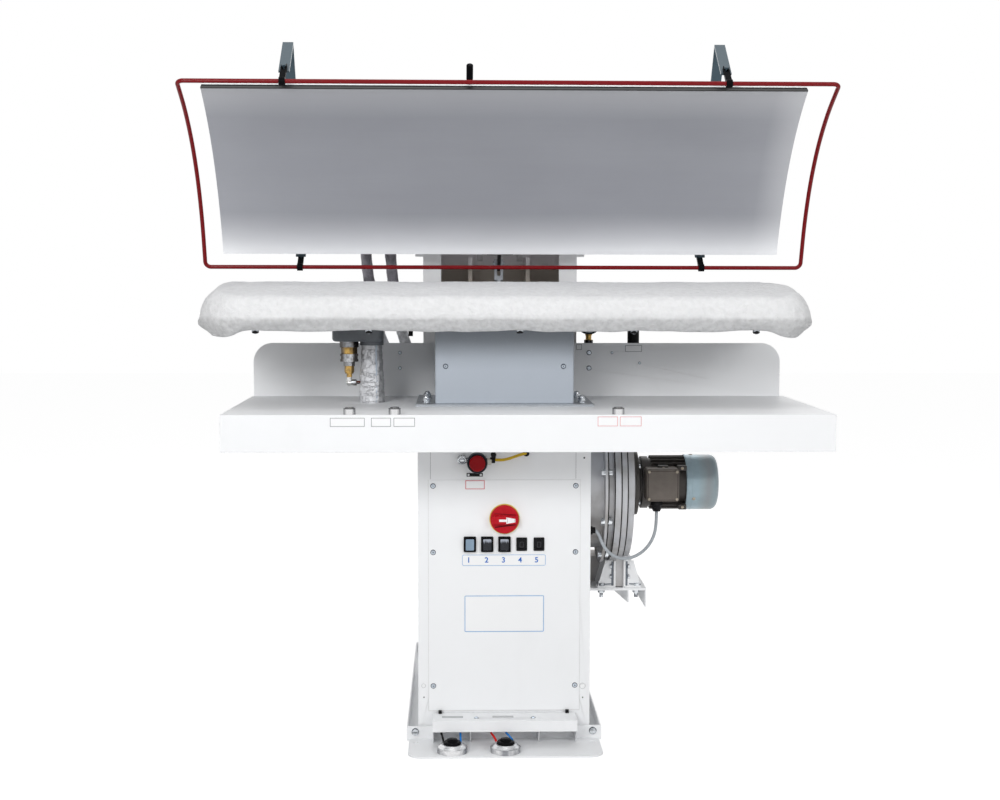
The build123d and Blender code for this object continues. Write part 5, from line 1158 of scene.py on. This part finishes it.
def sheet_details():
    """Plugs, small holes and joints in the cabinet's sheet metal, and black blocks on the hood."""
    plugs, holes, rims, joints, edges = (Shape() for _ in range(5))
    for x, z, steps, profile in PLUGS:
        plugs.turned((x, CABINET_FRONT, z), FRONT, profile, steps)
    plugs.piece("white_plugs", "label_white", "white_coat")
    for x, z, radius in SMALL_HOLES:
        holes.disc((x, CABINET_FRONT, z), FRONT, radius, 0.0003, 14)
    for x, z, _, profile in PLUGS[:2]:
        radius = profile[0][1]
        rims.rim((x, CABINET_FRONT, z), FRONT, radius, radius + 0.0007, 0.0004, 28)
    rims.piece("plug_rims", "plate_grey", "white_coat")
    for x in (-0.132, 0.13):
        holes.block((x - 0.0035, -0.34, HOOD_TOP - 0.002), (x + 0.0035, PANEL_FACE, HOOD_TOP + 0.006), 0.0008)
    holes.piece("dark_holes", "black_plastic", "black_plastic")
    low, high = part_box("cabinet_front_panel")
    for x in (-0.1511, 0.1461):
        joints.block((x - 0.0003, CABINET_FRONT - 0.0002, high.z + 0.002), (x + 0.0003, CABINET_FRONT, 0.62))
    joints.piece("sheet_joints", "border_dark", "white_coat")
    for x in (low.x, high.x):
        edges.block((x - 0.0005, CABINET_FRONT - 0.0003, low.z), (x + 0.0005, CABINET_FRONT, high.z))
    edges.block((low.x, PANEL_FACE - 0.0001, low.z), (high.x, PANEL_FACE, low.z + 0.0007))
    edges.piece("panel_edges", "edge_grey", "white_coat")


def bordered_plate(name, low, high, corner, face, border, width=0.0009, edge=0.0006, bend=None):
    """A thin plate on a face, with a border line a little inside its edge."""
    plate, line = Shape(), Shape()
    plate.prism(rounded(low, high, corner), 0.0, 0.0003, face)
    plate.piece(name, "label_white", "white_coat")
    line.border((low[0] + edge, low[1] + edge), (high[0] - edge, high[1] - edge),
                bend or max(corner - edge, 0.0004), width, face - 0.0002, 0.0003)
    line.piece(name + "_line", border, "white_coat")


def icon_strip():
    """Strip below the rocker switches with a thin border and the numbers 1 to 5."""
    bordered_plate("switch_strip", (-0.0875, 0.3629), (0.0857, 0.3878), 0.004, PANEL_FACE, "border_blue",
                   edge=0.001, bend=0.0035)
    numbers = Shape()
    for number, x in enumerate(NUMBER_PLACES, 1):
        numbers.words(str(number), (x, PANEL_FACE - 0.0004, 0.3754), 0.0155)
    numbers.piece("switch_numbers", "number_blue", "white_coat")


def bare_plates():
    """The bare places of plates and labels, and two bare grey plates that lie on the pedal hood."""
    for row in LABEL_PLATES:
        bordered_plate(*row)
    shape = Shape()
    for left, right in ((-0.128, -0.085), (-0.025, 0.018)):
        shape.block((left, -0.369, HOOD_TOP - 0.0002), (right, -0.356, HOOD_TOP + 0.0003))
    shape.piece("hood_plates", "plate_grey", "white_coat")


def switch_pointer():
    """White pointer, and the grip's furrows drawn as dark strips of painted shade, on the main switch's red
    handle.
    """
    low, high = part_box("isolator_knob")
    face = low.y
    z = (low.z + high.z) / 2
    disc = face + 0.011
    middle_z = z + 0.0035
    pointer, lines, painted_handle_shade = Shape(), Shape(), Shape()
    pointer.block((-0.0115, face - 0.0004, middle_z - 0.0067), (0.0034, face + 0.0004, middle_z - 0.0017),
                  0.0003)
    outline = ((0.0031, -0.0105), (0.0214, -0.0075), (0.0214, -0.0006), (0.0031, 0.0027))
    pointer.prism([(x, middle_z + up) for x, up in outline], -0.0002, 0.0004, face)
    pointer.piece("pointer_mark", "label_white", "white_coat", "main_switch")
    for x, half in ((0.0052, 0.0048), (0.0195, 0.0028)):
        line_z = middle_z - 0.0039
        lines.block((x, face - 0.0006, line_z - half), (x + 0.0005, face, line_z + half))
    lines.piece("pointer_lines", "grey_line", "white_coat", "main_switch")
    # Painted shade: dark red strips along the grip.
    for first, second, half in (((-0.0205, 0.0121), (0.0215, 0.0095), 0.0005),
                                ((-0.02, -0.016), (0.0225, -0.0105), 0.0011)):
        length = hypot(second[0] - first[0], second[1] - first[1])
        x, up = ((first[0] + second[0]) / 2, (first[1] + second[1]) / 2)
        slope = Matrix.Rotation(-(second[1] - first[1]) / length, 3, "Y")
        painted_handle_shade.block((x - length / 2, disc - 0.0003, z + up - half),
                     (x + length / 2, disc + 0.0004, z + up + half), 0.0, slope)
    painted_handle_shade.piece("handle_painted_shade", "switch_dark", "red_plastic", "main_switch")


def rocker_details():
    """Windows and ribs of the switch covers, and the marks of the plain rockers."""
    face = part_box("rocker_covers")[0].y
    for index in range(1, 6):
        number = str(index)
        low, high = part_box("rocker_" + number)
        middle, z = (low.x + high.x) / 2, (low.z + high.z) / 2
        if index > 3:
            mark = Shape()
            mark.border((low.x + 0.0022, z - 0.0062), (high.x - 0.0022, z + 0.0048), 0.0006, 0.0006,
                        low.y + 0.0004, 0.0005)
            mark.piece("rocker_mark_" + number, "grey_line", "black_plastic", "rocker_" + number)
            continue
        window, rim = Shape(), Shape()
        window.prism(rounded((middle - 0.0084, z - 0.0115), (middle + 0.0084, z + 0.0115), 0.0022), -0.0003,
                     0.0005, face)
        window.piece("cover_window_" + number, "lens_blue" if index == 1 else "smoke_cover", "clear_cover")
        rim.border((middle - 0.011, z - 0.0143), (middle + 0.011, z + 0.0143), 0.003, 0.0026,
                   face + 0.0012, 0.0016)
        rim.piece("cover_rim_" + number, "black_rubber", "black_rubber")
        if index > 1:
            ribs = Shape()
            for step in range(-2, 3):
                ribs.bar((middle + step * 0.003, face - 0.0004, z - 0.01), UP, 0.0155, 0.0007, 8)
            ribs.piece("cover_ribs_" + number, "smoke_cover", "clear_cover")


def stop_details():
    """Bezel, knurled fitting with painted shade in its furrows, elbow and dots of the stop valve, and the tag
    bar below it.
    """
    low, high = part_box("stop_button")
    x, z = (low.x + high.x) / 2, (low.z + high.z) / 2
    side_y = CABINET_FRONT - 0.013
    tube_y = CABINET_FRONT - 0.014
    turned_piece("stop_bezel", "slate_blue", "black_plastic", (x, CABINET_FRONT - 0.018, z), FRONT, 48,
                 ((0, 0.0198), (0, 0.0208), (0.0055, 0.0208), (0.0075, 0.02), (0.008, 0.0188),
                  (0.0062, 0.0174), (0, 0.0171)))
    dots, ring, painted_knurl_shade, elbow, tag, heads = (Shape() for _ in range(6))
    reach = (high.x - low.x) / 2 - 0.0026
    for step in range(18):
        angle = 2 * pi * step / 18 + 0.2
        dots.turned((x + reach * cos(angle), low.y + 0.0019, z + reach * sin(angle)),
                    (0.7 * cos(angle), -1, 0.7 * sin(angle)),
                    ((-0.0006, 0.0006), (0.0003, 0.0006), (0.0003, 0)), 8)
    dots.piece("stop_dots", "switch_dark", "red_plastic", "stop")
    ring.turned((x - 0.031, side_y - 0.0072, z + 0.006), FRONT,
                ((-0.01, 0.0), (-0.01, 0.0088, 0.0008), (0.0022, 0.0088, 0.0008), (0.003, 0.008),
                 (0.003, 0.0062), (0.0012, 0.0056), (0.0012, 0.0)), 56)
    ring.bar((x - 0.03, side_y, z + 0.005), RIGHT, 0.014, 0.0056, 6, 0.0005)
    ring.piece("knurled_ring", "bolt_steel", "zinc_steel")
    # Painted shade: dark radial strips on the knurled ring's face.
    half = Vector((0.0022, 0.0003, 0.0005))
    for step in range(14):
        angle = 2 * pi * step / 14
        middle = Vector((x - 0.031 + 0.0066 * cos(angle), side_y - 0.01, z + 0.006 + 0.0066 * sin(angle)))
        painted_knurl_shade.block(middle - half, middle + half, 0.0, Matrix.Rotation(-angle, 3, "Y"))
    painted_knurl_shade.piece("knurl_painted_shade", "slate_blue", "zinc_steel")
    bar_piece("valve_nut", "cream", "white_coat", (x + 0.0205, tube_y, z + 0.003), RIGHT,
              0.0085, 0.007, 6, 0.0006)
    elbow.bar((x + 0.0285, tube_y, z + 0.005), RIGHT, 0.008, 0.0058, 24, 0.001)
    elbow.bar((x + 0.033, tube_y, z + 0.009), UP, 0.01, 0.0046, 24, 0.0008)
    elbow.turned((x + 0.033, CABINET_FRONT - 0.0165, z + 0.017), FRONT,
                 ((-0.004, 0), (-0.004, 0.0056), (0.004, 0.0056), (0.0048, 0.0046), (0.0048, 0)), 28)
    elbow.bar((x + 0.1, CABINET_FRONT - 0.0105, z + 0.0185), (0, 1, 0), 0.01, 0.0064, 24, 0.001)
    elbow.piece("tube_elbows", "black_plastic", "black_plastic")
    tag.block((-0.0775, CABINET_FRONT - 0.0016, 0.548), (-0.0444, CABINET_FRONT, 0.5553), 0.0006)
    tag.piece("tag_bar", "black_plastic", "black_plastic")
    for place in (-0.0735, -0.0484):
        heads.turned((place, CABINET_FRONT - 0.0016, 0.5517), FRONT,
                     ((0, 0), (0, 0.0024), (0.0006, 0.0022), (0.001, 0.0012), (0.001, 0)), 14)
    heads.piece("tag_screws", "label_white", "white_coat")


# Steam and air pieces

def fittings():
    """Coupling, collars and white drain elbow of the fitting stack under the casting."""
    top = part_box("steam_casting")[1].z - 0.029
    turned_piece("coupling_ring", "stack_metal", "bright_steel", (STACK_X, STACK_Y, top - 0.026), DOWN, 40,
                 ((0, 0.016), (0, 0.0172, 0.0016), (0.0042, 0.0172, 0.0016), (0.0048, 0.0176),
                  (0.0108, 0.0176), (0.0114, 0.0172, 0.0016), (0.016, 0.0172, 0.0016), (0.016, 0.016)))
    collar, elbow = Shape(), Shape()
    for drop, radius, height in STACK_COLLARS:
        collar.bar((STACK_X, STACK_Y, top - drop), DOWN, height, radius, 32, 0.0004)
    collar.piece("stack_collars", "stack_metal", "brass_fitting")
    centre = Vector((STACK_X, STACK_Y, top - 0.084))
    angles = [step / 12 * pi - pi / 2 for step in range(13)]
    elbow.turned(centre, UP, [(0.006 * sin(angle), 0.006 * cos(angle)) for angle in angles], 28)
    elbow.bar(centre, UP, 0.0085, 0.0052, 28, 0.0006)
    elbow.piece("drain_elbow", "white_plastic", "white_coat")
    bar_piece("drain_nut", "bolt_steel", "zinc_steel", centre + Vector((0.003, 0, -0.0012)), RIGHT,
              0.0115, 0.0064, 12, 0.001)
    bar_piece("drain_tube", "tube_brown", "air_tube", centre + Vector((0.014, 0, -0.0012)), RIGHT,
              0.013, 0.003, 20)


def dial_mark(marks, centre, y, angle, along, half):
    """A small block that points outward on the dial."""
    middle = Vector((centre[0] + along * cos(angle), y, centre[1] + along * sin(angle)))
    marks.block(middle - Vector(half), middle + Vector(half), 0.0, Matrix.Rotation(-angle, 3, "Y"))


def gauge_face():
    """Dial of the pressure gauge with its ticks, plain numbers and needle."""
    low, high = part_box("pressure_gauge")
    x, z = (low.x + high.x) / 2, high.z - 0.0265
    middle_y = (low.y + high.y) / 2
    face = low.y + 0.002
    dial, marks = Shape(), Shape()
    dial.disc((x, face + 0.0004, z), FRONT, 0.0224, 0.0006, 48)
    dial.piece("gauge_dial", "dial", "gauge_case")
    for step in range(25):
        tall = 0.003 if step % 6 == 0 else 0.0017
        dial_mark(marks, (x, z), face - 0.0004, radians(225 - 270 * step / 24), 0.0196 - tall / 2,
                  (tall / 2, 0.0002, 0.00035))
    dial_mark(marks, (x, z), face - 0.0012, radians(128), 0.006, (0.0105, 0.0002, 0.0006))
    marks.turned((x, face - 0.0002, z), FRONT, ((0, 0.0022), (0.0016, 0.0022), (0.002, 0.0016),
                                                (0.002, 0)), 20)
    for number in range(5):
        angle = radians(225 - 270 * number / 4)
        place = (x + 0.0135 * cos(angle), face - 0.0004, z + 0.0135 * sin(angle))
        marks.words(str(number * 2), place, 0.0046)
    marks.piece("gauge_marks", "black_plastic", "black_plastic")
    turned_piece("gauge_bezel", "slate_blue", "gauge_case", (x, low.y + 0.0035, z), FRONT, 56,
                 ((0, 0.0263), (0.002, 0.0265), (0.0036, 0.0256), (0.0036, 0.0238), (0.0016, 0.0226),
                  (0.0, 0.0224)))
    turned_piece("gauge_neck", "brass_fitting", "brass_fitting", (x, middle_y, z - 0.0262), DOWN, 32,
                 ((0, 0.0078), (0.002, 0.0078), (0.003, 0.0064), (0.011, 0.0064), (0.012, 0.009),
                  (0.0125, 0.009), (0.0125, 0)))
    bar_piece("gauge_nut", "slate_metal", "cast_grey", (x, middle_y, low.z + 0.0098), DOWN,
              0.0096, 0.01, 6, 0.0008)


# Blower and motor

def motor_details():
    """Line, screws and cable gland of the terminal box, and beads and screws of the motor's cowl."""
    low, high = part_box("terminal_box")
    lid, screws, bead, cowl_screws = (Shape() for _ in range(4))
    inset = 0.0035
    lid.border((low.x + inset, low.z + inset), (high.x - inset, high.z - inset), 0.006, 0.0008,
               low.y + 0.0002, 0.0005)
    lid.piece("lid_line", "motor_dark", "box_plastic")
    for x, z in ((0.307, 0.5464), (0.3658, 0.4886), (0.3658, 0.5464), (0.307, 0.4886)):
        screws.screw((x, low.y, z), FRONT, 0.003, 0.0016)
    screws.piece("lid_screws", "bronze", "brass_fitting")
    turned_piece("gland_cap", "black_plastic", "black_plastic", (low.x + 0.024, -0.233, 0.4825), DOWN, 32,
                 ((0, 0), (0, 0.0118), (0.0015, 0.0128), (0.0085, 0.0128), (0.0095, 0.0112),
                  (0.0102, 0.0098, 0.0009), (0.017, 0.0092, 0.0009), (0.0205, 0.007), (0.0218, 0.0054),
                  (0.0218, 0.003)))
    low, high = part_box("motor_cowl")
    radius = (high.y - low.y) / 2
    for along, width in ((low.x + 0.0005, 0.004), (low.x + 0.012, 0.0018)):
        bead.turned((along, FAN_Y, FAN_Z), RIGHT,
                    ((0, radius - 0.001), (width * 0.2, radius + 0.0006), (width * 0.8, radius + 0.0006),
                     (width, radius - 0.001)), 96)
    bead.piece("cowl_beads", "cowl_zinc", "cowl_zinc")
    for angle in (90, 210, 330):
        way = Vector((0, cos(radians(angle)), sin(radians(angle))))
        cowl_screws.screw(Vector((low.x + 0.016, FAN_Y, FAN_Z)) + way * (radius - 0.0006), way, 0.004, 0.0022)
    cowl_screws.piece("cowl_screws", "bronze", "zinc_steel")


def blower_details():
    """Dark joints between the steps of the volute, partly painted shade at the steps, and the lugs on the
    motor's side.
    """
    joints, lugs, bolts = (Shape() for _ in range(3))
    # Dark lines at the volute's steps: joints, deepened by painted shade.
    for x, radius in VOLUTE_JOINTS_AND_SHADE:
        arc = [Vector((x, FAN_Y - radius * cos(radians(angle)), FAN_Z + radius * sin(radians(angle))))
               for angle in range(-62, 84, 2)]
        joints.bent(arc, 0.0012, 6)
    joints.piece("volute_joints_and_shade", "motor_dark", "motor_paint")
    for left, right, low, high in MOTOR_LUGS:
        lugs.block((left, -0.2215, low), (right, -0.202, high), 0.0015)
    lugs.block((0.2935, -0.213, 0.498), (0.311, -0.205, 0.53), 0.0012)
    lugs.piece("motor_lugs", "motor_paint", "motor_paint")
    for x, z in ((0.341, 0.5505), (0.381, 0.5505), (0.382, 0.4675)):
        bolts.screw((x, -0.2215, z), FRONT, 0.0032, 0.0018)
    bolts.piece("lug_bolts", "bronze", "zinc_steel")


def foot_details():
    """Bright flange edges, dark strips of painted shade at each flange's bend, and bolts on the two feet
    under the blower.
    """
    front = -0.199
    back = front + 0.0005
    edges, painted_bend_shade, bolts = (Shape() for _ in range(3))
    for face, out in ((0.243, -1), (0.26, 1)):
        nose = face + out * 0.0042
        bend = nose + out * 0.0048
        tip = face + out * 0.038
        edges.block((min(face, nose), front - 0.0045, 0.293), (max(face, nose), back, 0.3485), 0.0005)
        edges.block((min(nose, tip), front - 0.0035, 0.2902), (max(nose, tip), back, 0.2945), 0.0005)
        # Painted shade: dark strips along each flange's bend.
        painted_bend_shade.block((min(nose, bend), front - 0.001, 0.295), (max(nose, bend), back, 0.347), 0.0004)
        painted_bend_shade.block((min(bend, tip) + 0.003, front - 0.001, 0.2962), (max(bend, tip), back, 0.2988),
                    0.0004, Matrix.Rotation(0.06 * out, 3, "Y"))
        for z in (0.315, 0.337):
            bolts.bar((bend, front - 0.004, z), (out, 0, 0), 0.0034, 0.0048, 6, 0.0005)
        bolts.bar((face + out * 0.029, front - 0.001, 0.2945), UP, 0.006, 0.0062, 6, 0.0007)
    edges.piece("foot_edges", "label_white", "white_coat")
    painted_bend_shade.piece("foot_painted_shade", "foot_shade", "white_coat")
    bolts.piece("foot_bolt_heads", "bolt_steel", "zinc_steel")


# Fasteners and pedals

def washers():
    """Washers, heads and domed caps of the bolts at the post's foot, and washers at the front ears."""
    shape = Shape()
    for side in (-1, 1):
        shape.ring((EAR_X * side, -0.3332, EAR_Z), FRONT, 0.005, 0.01, 0.0008, 28)
        for y in (-0.29, -0.165):
            x = 0.16 * side
            shape.ring((x, y, 0.698), UP, 0.0046, 0.0098, 0.0007, 28)
            shape.bar((x, y, 0.6987), UP, 0.0078, 0.0086, 6, 0.0009, 0.4)
            shape.turned((x, y, 0.7062), UP,
                         ((0, 0.006), (0.002, 0.0058), (0.004, 0.0046), (0.0052, 0.0024), (0.0054, 0)), 24)
    shape.piece("bolt_washers", "bolt_steel", "bright_steel")


def ear_bolts():
    """Domed heads and dark seats of the two bolts at the base's front ears."""
    domes, seats = Shape(), Shape()
    for side in (-1, 1):
        domes.turned((EAR_X * side, -0.338, EAR_Z), FRONT,
                     ((0, 0.0062), (0.001, 0.006), (0.002, 0.0048), (0.0024, 0.003), (0.0016, 0.0022),
                      (0.0016, 0)), 32)
        seats.rim((EAR_X * side, -0.3381, EAR_Z), FRONT, 0.0062, 0.0072, 0.0004, 32)
    domes.piece("ear_bolt_heads", "cross_steel", "zinc_steel")
    seats.piece("ear_bolt_seats", "slate_blue", "zinc_steel")


def pedal_caps():
    """Stepped rubber caps of the two pedal buttons."""
    for name in ("left", "right"):
        low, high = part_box("pedal_dome_" + name)
        radius = (high.x - low.x) / 2 - 0.0003
        cap = Shape()
        cap.turned(((low.x + high.x) / 2, (low.y + high.y) / 2, high.z - 0.0036), UP,
                   ((0, 0), (0, radius), (0.0022, radius), (0.0044, radius - 0.0016),
                    (0.0052, radius - 0.006),
                    (0.0078, radius - 0.0066), (0.0094, radius - 0.0085), (0.0101, radius - 0.0125),
                    (0.0103, 0)), 56)
        cap.piece("pedal_cap_" + name, "dome_rubber", "black_rubber", "pedal_" + name)


def hook_caps():
    """Silvery domed heads that show below the cover's front edge."""
    shape = Shape()
    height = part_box("cover_hooks")[1].z - 0.0022
    way = (0, -0.85, -0.5)
    dome = [(0.0032 * sin(step / 6 * pi / 2), 0.0068 * cos(step / 6 * pi / 2)) for step in range(7)]
    for x in HOOK_PLACES:
        place = (x, -0.42, height)
        shape.turned(place, way, dome, 20)
        shape.turned(place, way, ((0, 0.0068), (-0.003, 0.0068), (-0.003, 0)), 20)
    shape.piece("hook_caps", "bright_steel", "bright_steel")


# Stage, lights and camera

def pale_rays(finish):
    """1 for the rays that show the surroundings: seen, mirrored or through glass."""
    seen = finish.node("LightPath", {}, {}, "Is Camera Ray")
    mirrored = finish.node("LightPath", {}, {}, "Is Glossy Ray")
    through = finish.node("LightPath", {}, {}, "Is Transmission Ray")
    return seen.math("MAXIMUM", seen.math("MAXIMUM", seen, mirrored), through)


def stage():
    """Pale floor that keeps the press's shadow, and white surroundings."""
    reach = FLOOR_REACH
    mesh = bpy.data.meshes.new("floor")
    corners = [(-reach, -reach, 0), (reach, -reach, 0), (reach, reach, 0), (-reach, reach, 0)]
    mesh.from_pydata(corners, [], [(0, 1, 2, 3)])
    floor = link("floor", mesh)
    paint_of_floor = Finish("floor_paint")
    plain = paint_of_floor.node("BsdfDiffuse", {}, {"Color": FLOOR_PLAIN})
    shaded = paint_of_floor.node("BsdfDiffuse", {}, {"Color": FLOOR_SHADED})
    glow = paint_of_floor.node("Emission", {}, {"Color": (1, 1, 1), "Strength": FLOOR_GLOW})
    white = paint_of_floor.node("AddShader", {}, {0: shaded, 1: glow})
    both = paint_of_floor.node("MixShader", {}, {0: pale_rays(paint_of_floor), 1: plain, 2: white})
    paint_of_floor.tree.links.new(both.socket, paint_of_floor.tree.nodes["Material Output"].inputs["Surface"])
    mesh.materials.append(paint_of_floor.material)

    world = bpy.data.worlds.new("studio")
    bpy.context.scene.world = world
    walls = Finish("studio_walls", world)
    strength = walls.band(pale_rays(walls), 0.0, 1.0, WORLD_LIGHT, 1.0)
    background = walls.tree.nodes["Background"]
    background.inputs["Color"].default_value = (1, 1, 1, 1)
    walls.feed(background.inputs["Strength"], strength)


def lamps():
    """Large soft lamps."""
    for name, place, target, size, power in LAMPS:
        data = bpy.data.lights.new(name, "AREA")
        data.shape = "SQUARE"
        data.size = size
        data.energy = power
        lamp = link(name, data)
        lamp.location = place
        lamp.rotation_euler = (Vector(target) - Vector(place)).to_track_quat("-Z", "Y").to_euler()


def camera():
    """Camera with the photograph's place, direction and lens."""
    forward = Vector((sin(CAMERA_YAW) * cos(CAMERA_PITCH), cos(CAMERA_YAW) * cos(CAMERA_PITCH),
                      -sin(CAMERA_PITCH)))
    right = Vector((cos(CAMERA_YAW), -sin(CAMERA_YAW), 0))
    up = right.cross(forward)
    rolled_right = right * cos(CAMERA_ROLL) + up * sin(CAMERA_ROLL)
    rolled_up = up * cos(CAMERA_ROLL) - right * sin(CAMERA_ROLL)
    turn = Matrix((rolled_right, rolled_up, -forward)).transposed().to_4x4()
    turn.translation = CAMERA_PLACE
    data = bpy.data.cameras.new("camera")
    data.lens = CAMERA_LENS
    item = link("camera", data)
    item.matrix_world = turn
    bpy.context.scene.camera = item


# Coats: name, colour, then grime, roughness and gloss
COATS = (
    ("white_coat", WHITE, 0.5, 0.44, 0.2), ("head_coat", WHITE, 0.3, 0.44, 0.2),
    ("foot_shade", (0.17, 0.19, 0.22)), ("strap_paint", (0.058, 0.09, 0.112), 0.5, 0.3),
    ("red_rod", (0.19, 0.004, 0.007), 0.5, 0.2, 0.16), ("label_white", (0.905, 0.912, 0.92), 0.1),
)

# Machined metals: name, colour, roughness, then tarnish and metallic share
METALS = (
    ("brass_fitting", BRASS, 0.3), ("bright_steel", STEEL, 0.24), ("zinc_steel", STEEL, 0.34),
    ("cross_steel", (0.6, 0.66, 0.73), 0.28, 0.4), ("slate_metal", (0.1, 0.105, 0.115), 0.38, 0.75, 0.6),
    ("bronze", (0.42, 0.37, 0.3), 0.34),
)

# Cast metals: name, two colours, metallic share, then the streaks' direction
CASTS = (
    ("cast_aluminium", (0.5, 0.515, 0.55), (0.37, 0.35, 0.33), 0.7, (1, 1.6, 0.5)),
    ("cast_grey", SLATE, darker(SLATE, 0.7), 0.15),
    ("motor_paint", MOTOR_TAUPE, darker(MOTOR_TAUPE, 0.75), 0.1),
)

# Plastics, rubbers and prints: name, colour, then roughness, grain and gloss
PLASTICS = (
    ("seam_tape", (0.5, 0.56, 0.64), 0.5), ("motor_dark", darker(MOTOR_TAUPE, 0.35)),
    ("box_plastic", (0.205, 0.18, 0.16), 0.5, 0.00006), ("black_plastic", BLACK),
    ("black_rubber", (0.005, 0.005, 0.006), 0.42, 0.00003, 0.02),
    ("dome_rubber", (0.004, 0.004, 0.005), 0.24, 0.00003, 0.05),
    ("seal", (0.012, 0.012, 0.013), 0.6, 0.00008), ("switch_red", (0.52, 0.012, 0.022), 0.26),
    ("stop_red", (0.3, 0.006, 0.01), 0.24), ("switch_dark", (0.075, 0.004, 0.008), 0.4),
    ("yellow_plastic", (0.78, 0.6, 0.1), 0.35), ("slate_blue", (0.035, 0.042, 0.055), 0.32),
    ("cream", (0.72, 0.7, 0.62), 0.4), ("white_plastic", (0.8, 0.8, 0.78), 0.35),
    ("edge_grey", (0.62, 0.61, 0.59), 0.5), ("plate_grey", (0.55, 0.56, 0.57), 0.4),
    ("border_blue", (0.2, 0.4, 0.72), 0.4), ("border_red", (0.72, 0.25, 0.27), 0.4),
    ("border_dark", (0.25, 0.25, 0.27), 0.4), ("number_blue", (0.006, 0.14, 0.55), 0.4),
    ("grey_line", (0.1, 0.1, 0.11), 0.4), ("dial", (0.62, 0.7, 0.78), 0.3),
    ("lens_blue", (0.27, 0.37, 0.48), 0.2), ("cable_sheath", (0.43, 0.46, 0.49), 0.32),
    ("tube_yellow", (0.62, 0.4, 0.03), 0.25), ("tube_blue", (0.02, 0.2, 0.6), 0.25),
    ("tube_red", (0.6, 0.02, 0.02), 0.25), ("tube_black", BLACK, 0.25),
    ("tube_brown", (0.1, 0.025, 0.018), 0.3),
)


def make_finishes():
    """Makes every finish."""
    for make, rows in ((coated_metal, COATS), (worked_metal, METALS), (cast_metal, CASTS),
                       (moulded, PLASTICS)):
        for row in rows:
            make(*row)
    for make in (column_steel, yoke_paint, cowl_coat, bolt_steel, polished_plate, pad_cloth, silver_cloth,
                 hose_cloth, stained_zinc, chrome, turned_metal, stack_metal, smoked_window, clear_plastic):
        make()


# Which finish each node of the solids has
NODE_FINISHES = {
    "white_coat": ("base_frame", "foot_plate", "cabinet_shell", "cabinet_front_panel", "table_tray",
                   "fan_support", "pedal_hood"),
    "head_coat": ("head_cover", "hinge_bearings"),
    "column_steel": ("rear_column",),
    "grey_coat": ("post_cowl",),
    "strap_paint": ("guard_straps",),
    "red_rod": ("guard_rod",),
    "polished_plate": ("head_plate",),
    "pad_cloth": ("board_cover",),
    "cast_aluminium": ("fan_housing", "board_chest", "head_chest", "fan_impeller", "cylinder_barrel"),
    "motor_paint": ("motor_body",),
    "cowl_zinc": ("motor_cowl",),
    "box_plastic": ("terminal_box",),
    "cast_grey": ("steam_casting",),
    "yoke_paint": ("head_yoke",),
    "stack_metal": ("fitting_stack",),
    "bolt_steel": ("hex_bolts",),
    "zinc_steel": ("small_screws", "steam_manifold", "cylinder_rod", "post_duct"),
    "chrome_steel": ("button_collars", "push_button_left", "push_button_middle", "push_button_right"),
    "turned_aluminium": ("pedal_bases",),
    "sleeve_cloth": ("steam_sleeve",),
    "hose_cloth": ("steam_hoses",),
    "yellow_plastic": ("isolator_plate",),
    "switch_red": ("isolator_knob",),
    "stop_red": ("stop_button",),
    "cable_sheath": ("motor_cable",),
    "tube_black": ("air_tubes",),
    "seal": ("head_gasket",),
    "black_rubber": ("pedal_dome_left", "pedal_dome_right", "head_grip", "guard_clips"),
    "lens_blue": ("rocker_1",),
    "clear_cover": ("rocker_covers",),
    "black_plastic": ("cover_hooks", "pressure_gauge", "air_preparation", "rocker_frames", "rocker_2",
                      "rocker_3", "rocker_4", "rocker_5", "stop_valve", "cable_glands"),
}

bpy.context.scene.view_settings.view_transform = "Standard"
stage()
lamps()
camera()

make_finishes()
for finish_name, node_names in NODE_FINISHES.items():
    paint(node_names, finishes[finish_name])

for make in (cords, board_cover, steam_sleeve, steam_hoses, panel_screws, sheet_details, icon_strip,
             bare_plates, switch_pointer, rocker_details, stop_details, fittings, gauge_face, motor_details,
             blower_details, foot_details, washers, ear_bolts, pedal_caps, hook_caps):
    make()
soften(("cabinet_shell", "table_tray", "pedal_hood", "base_frame", "foot_plate"), 0.001)
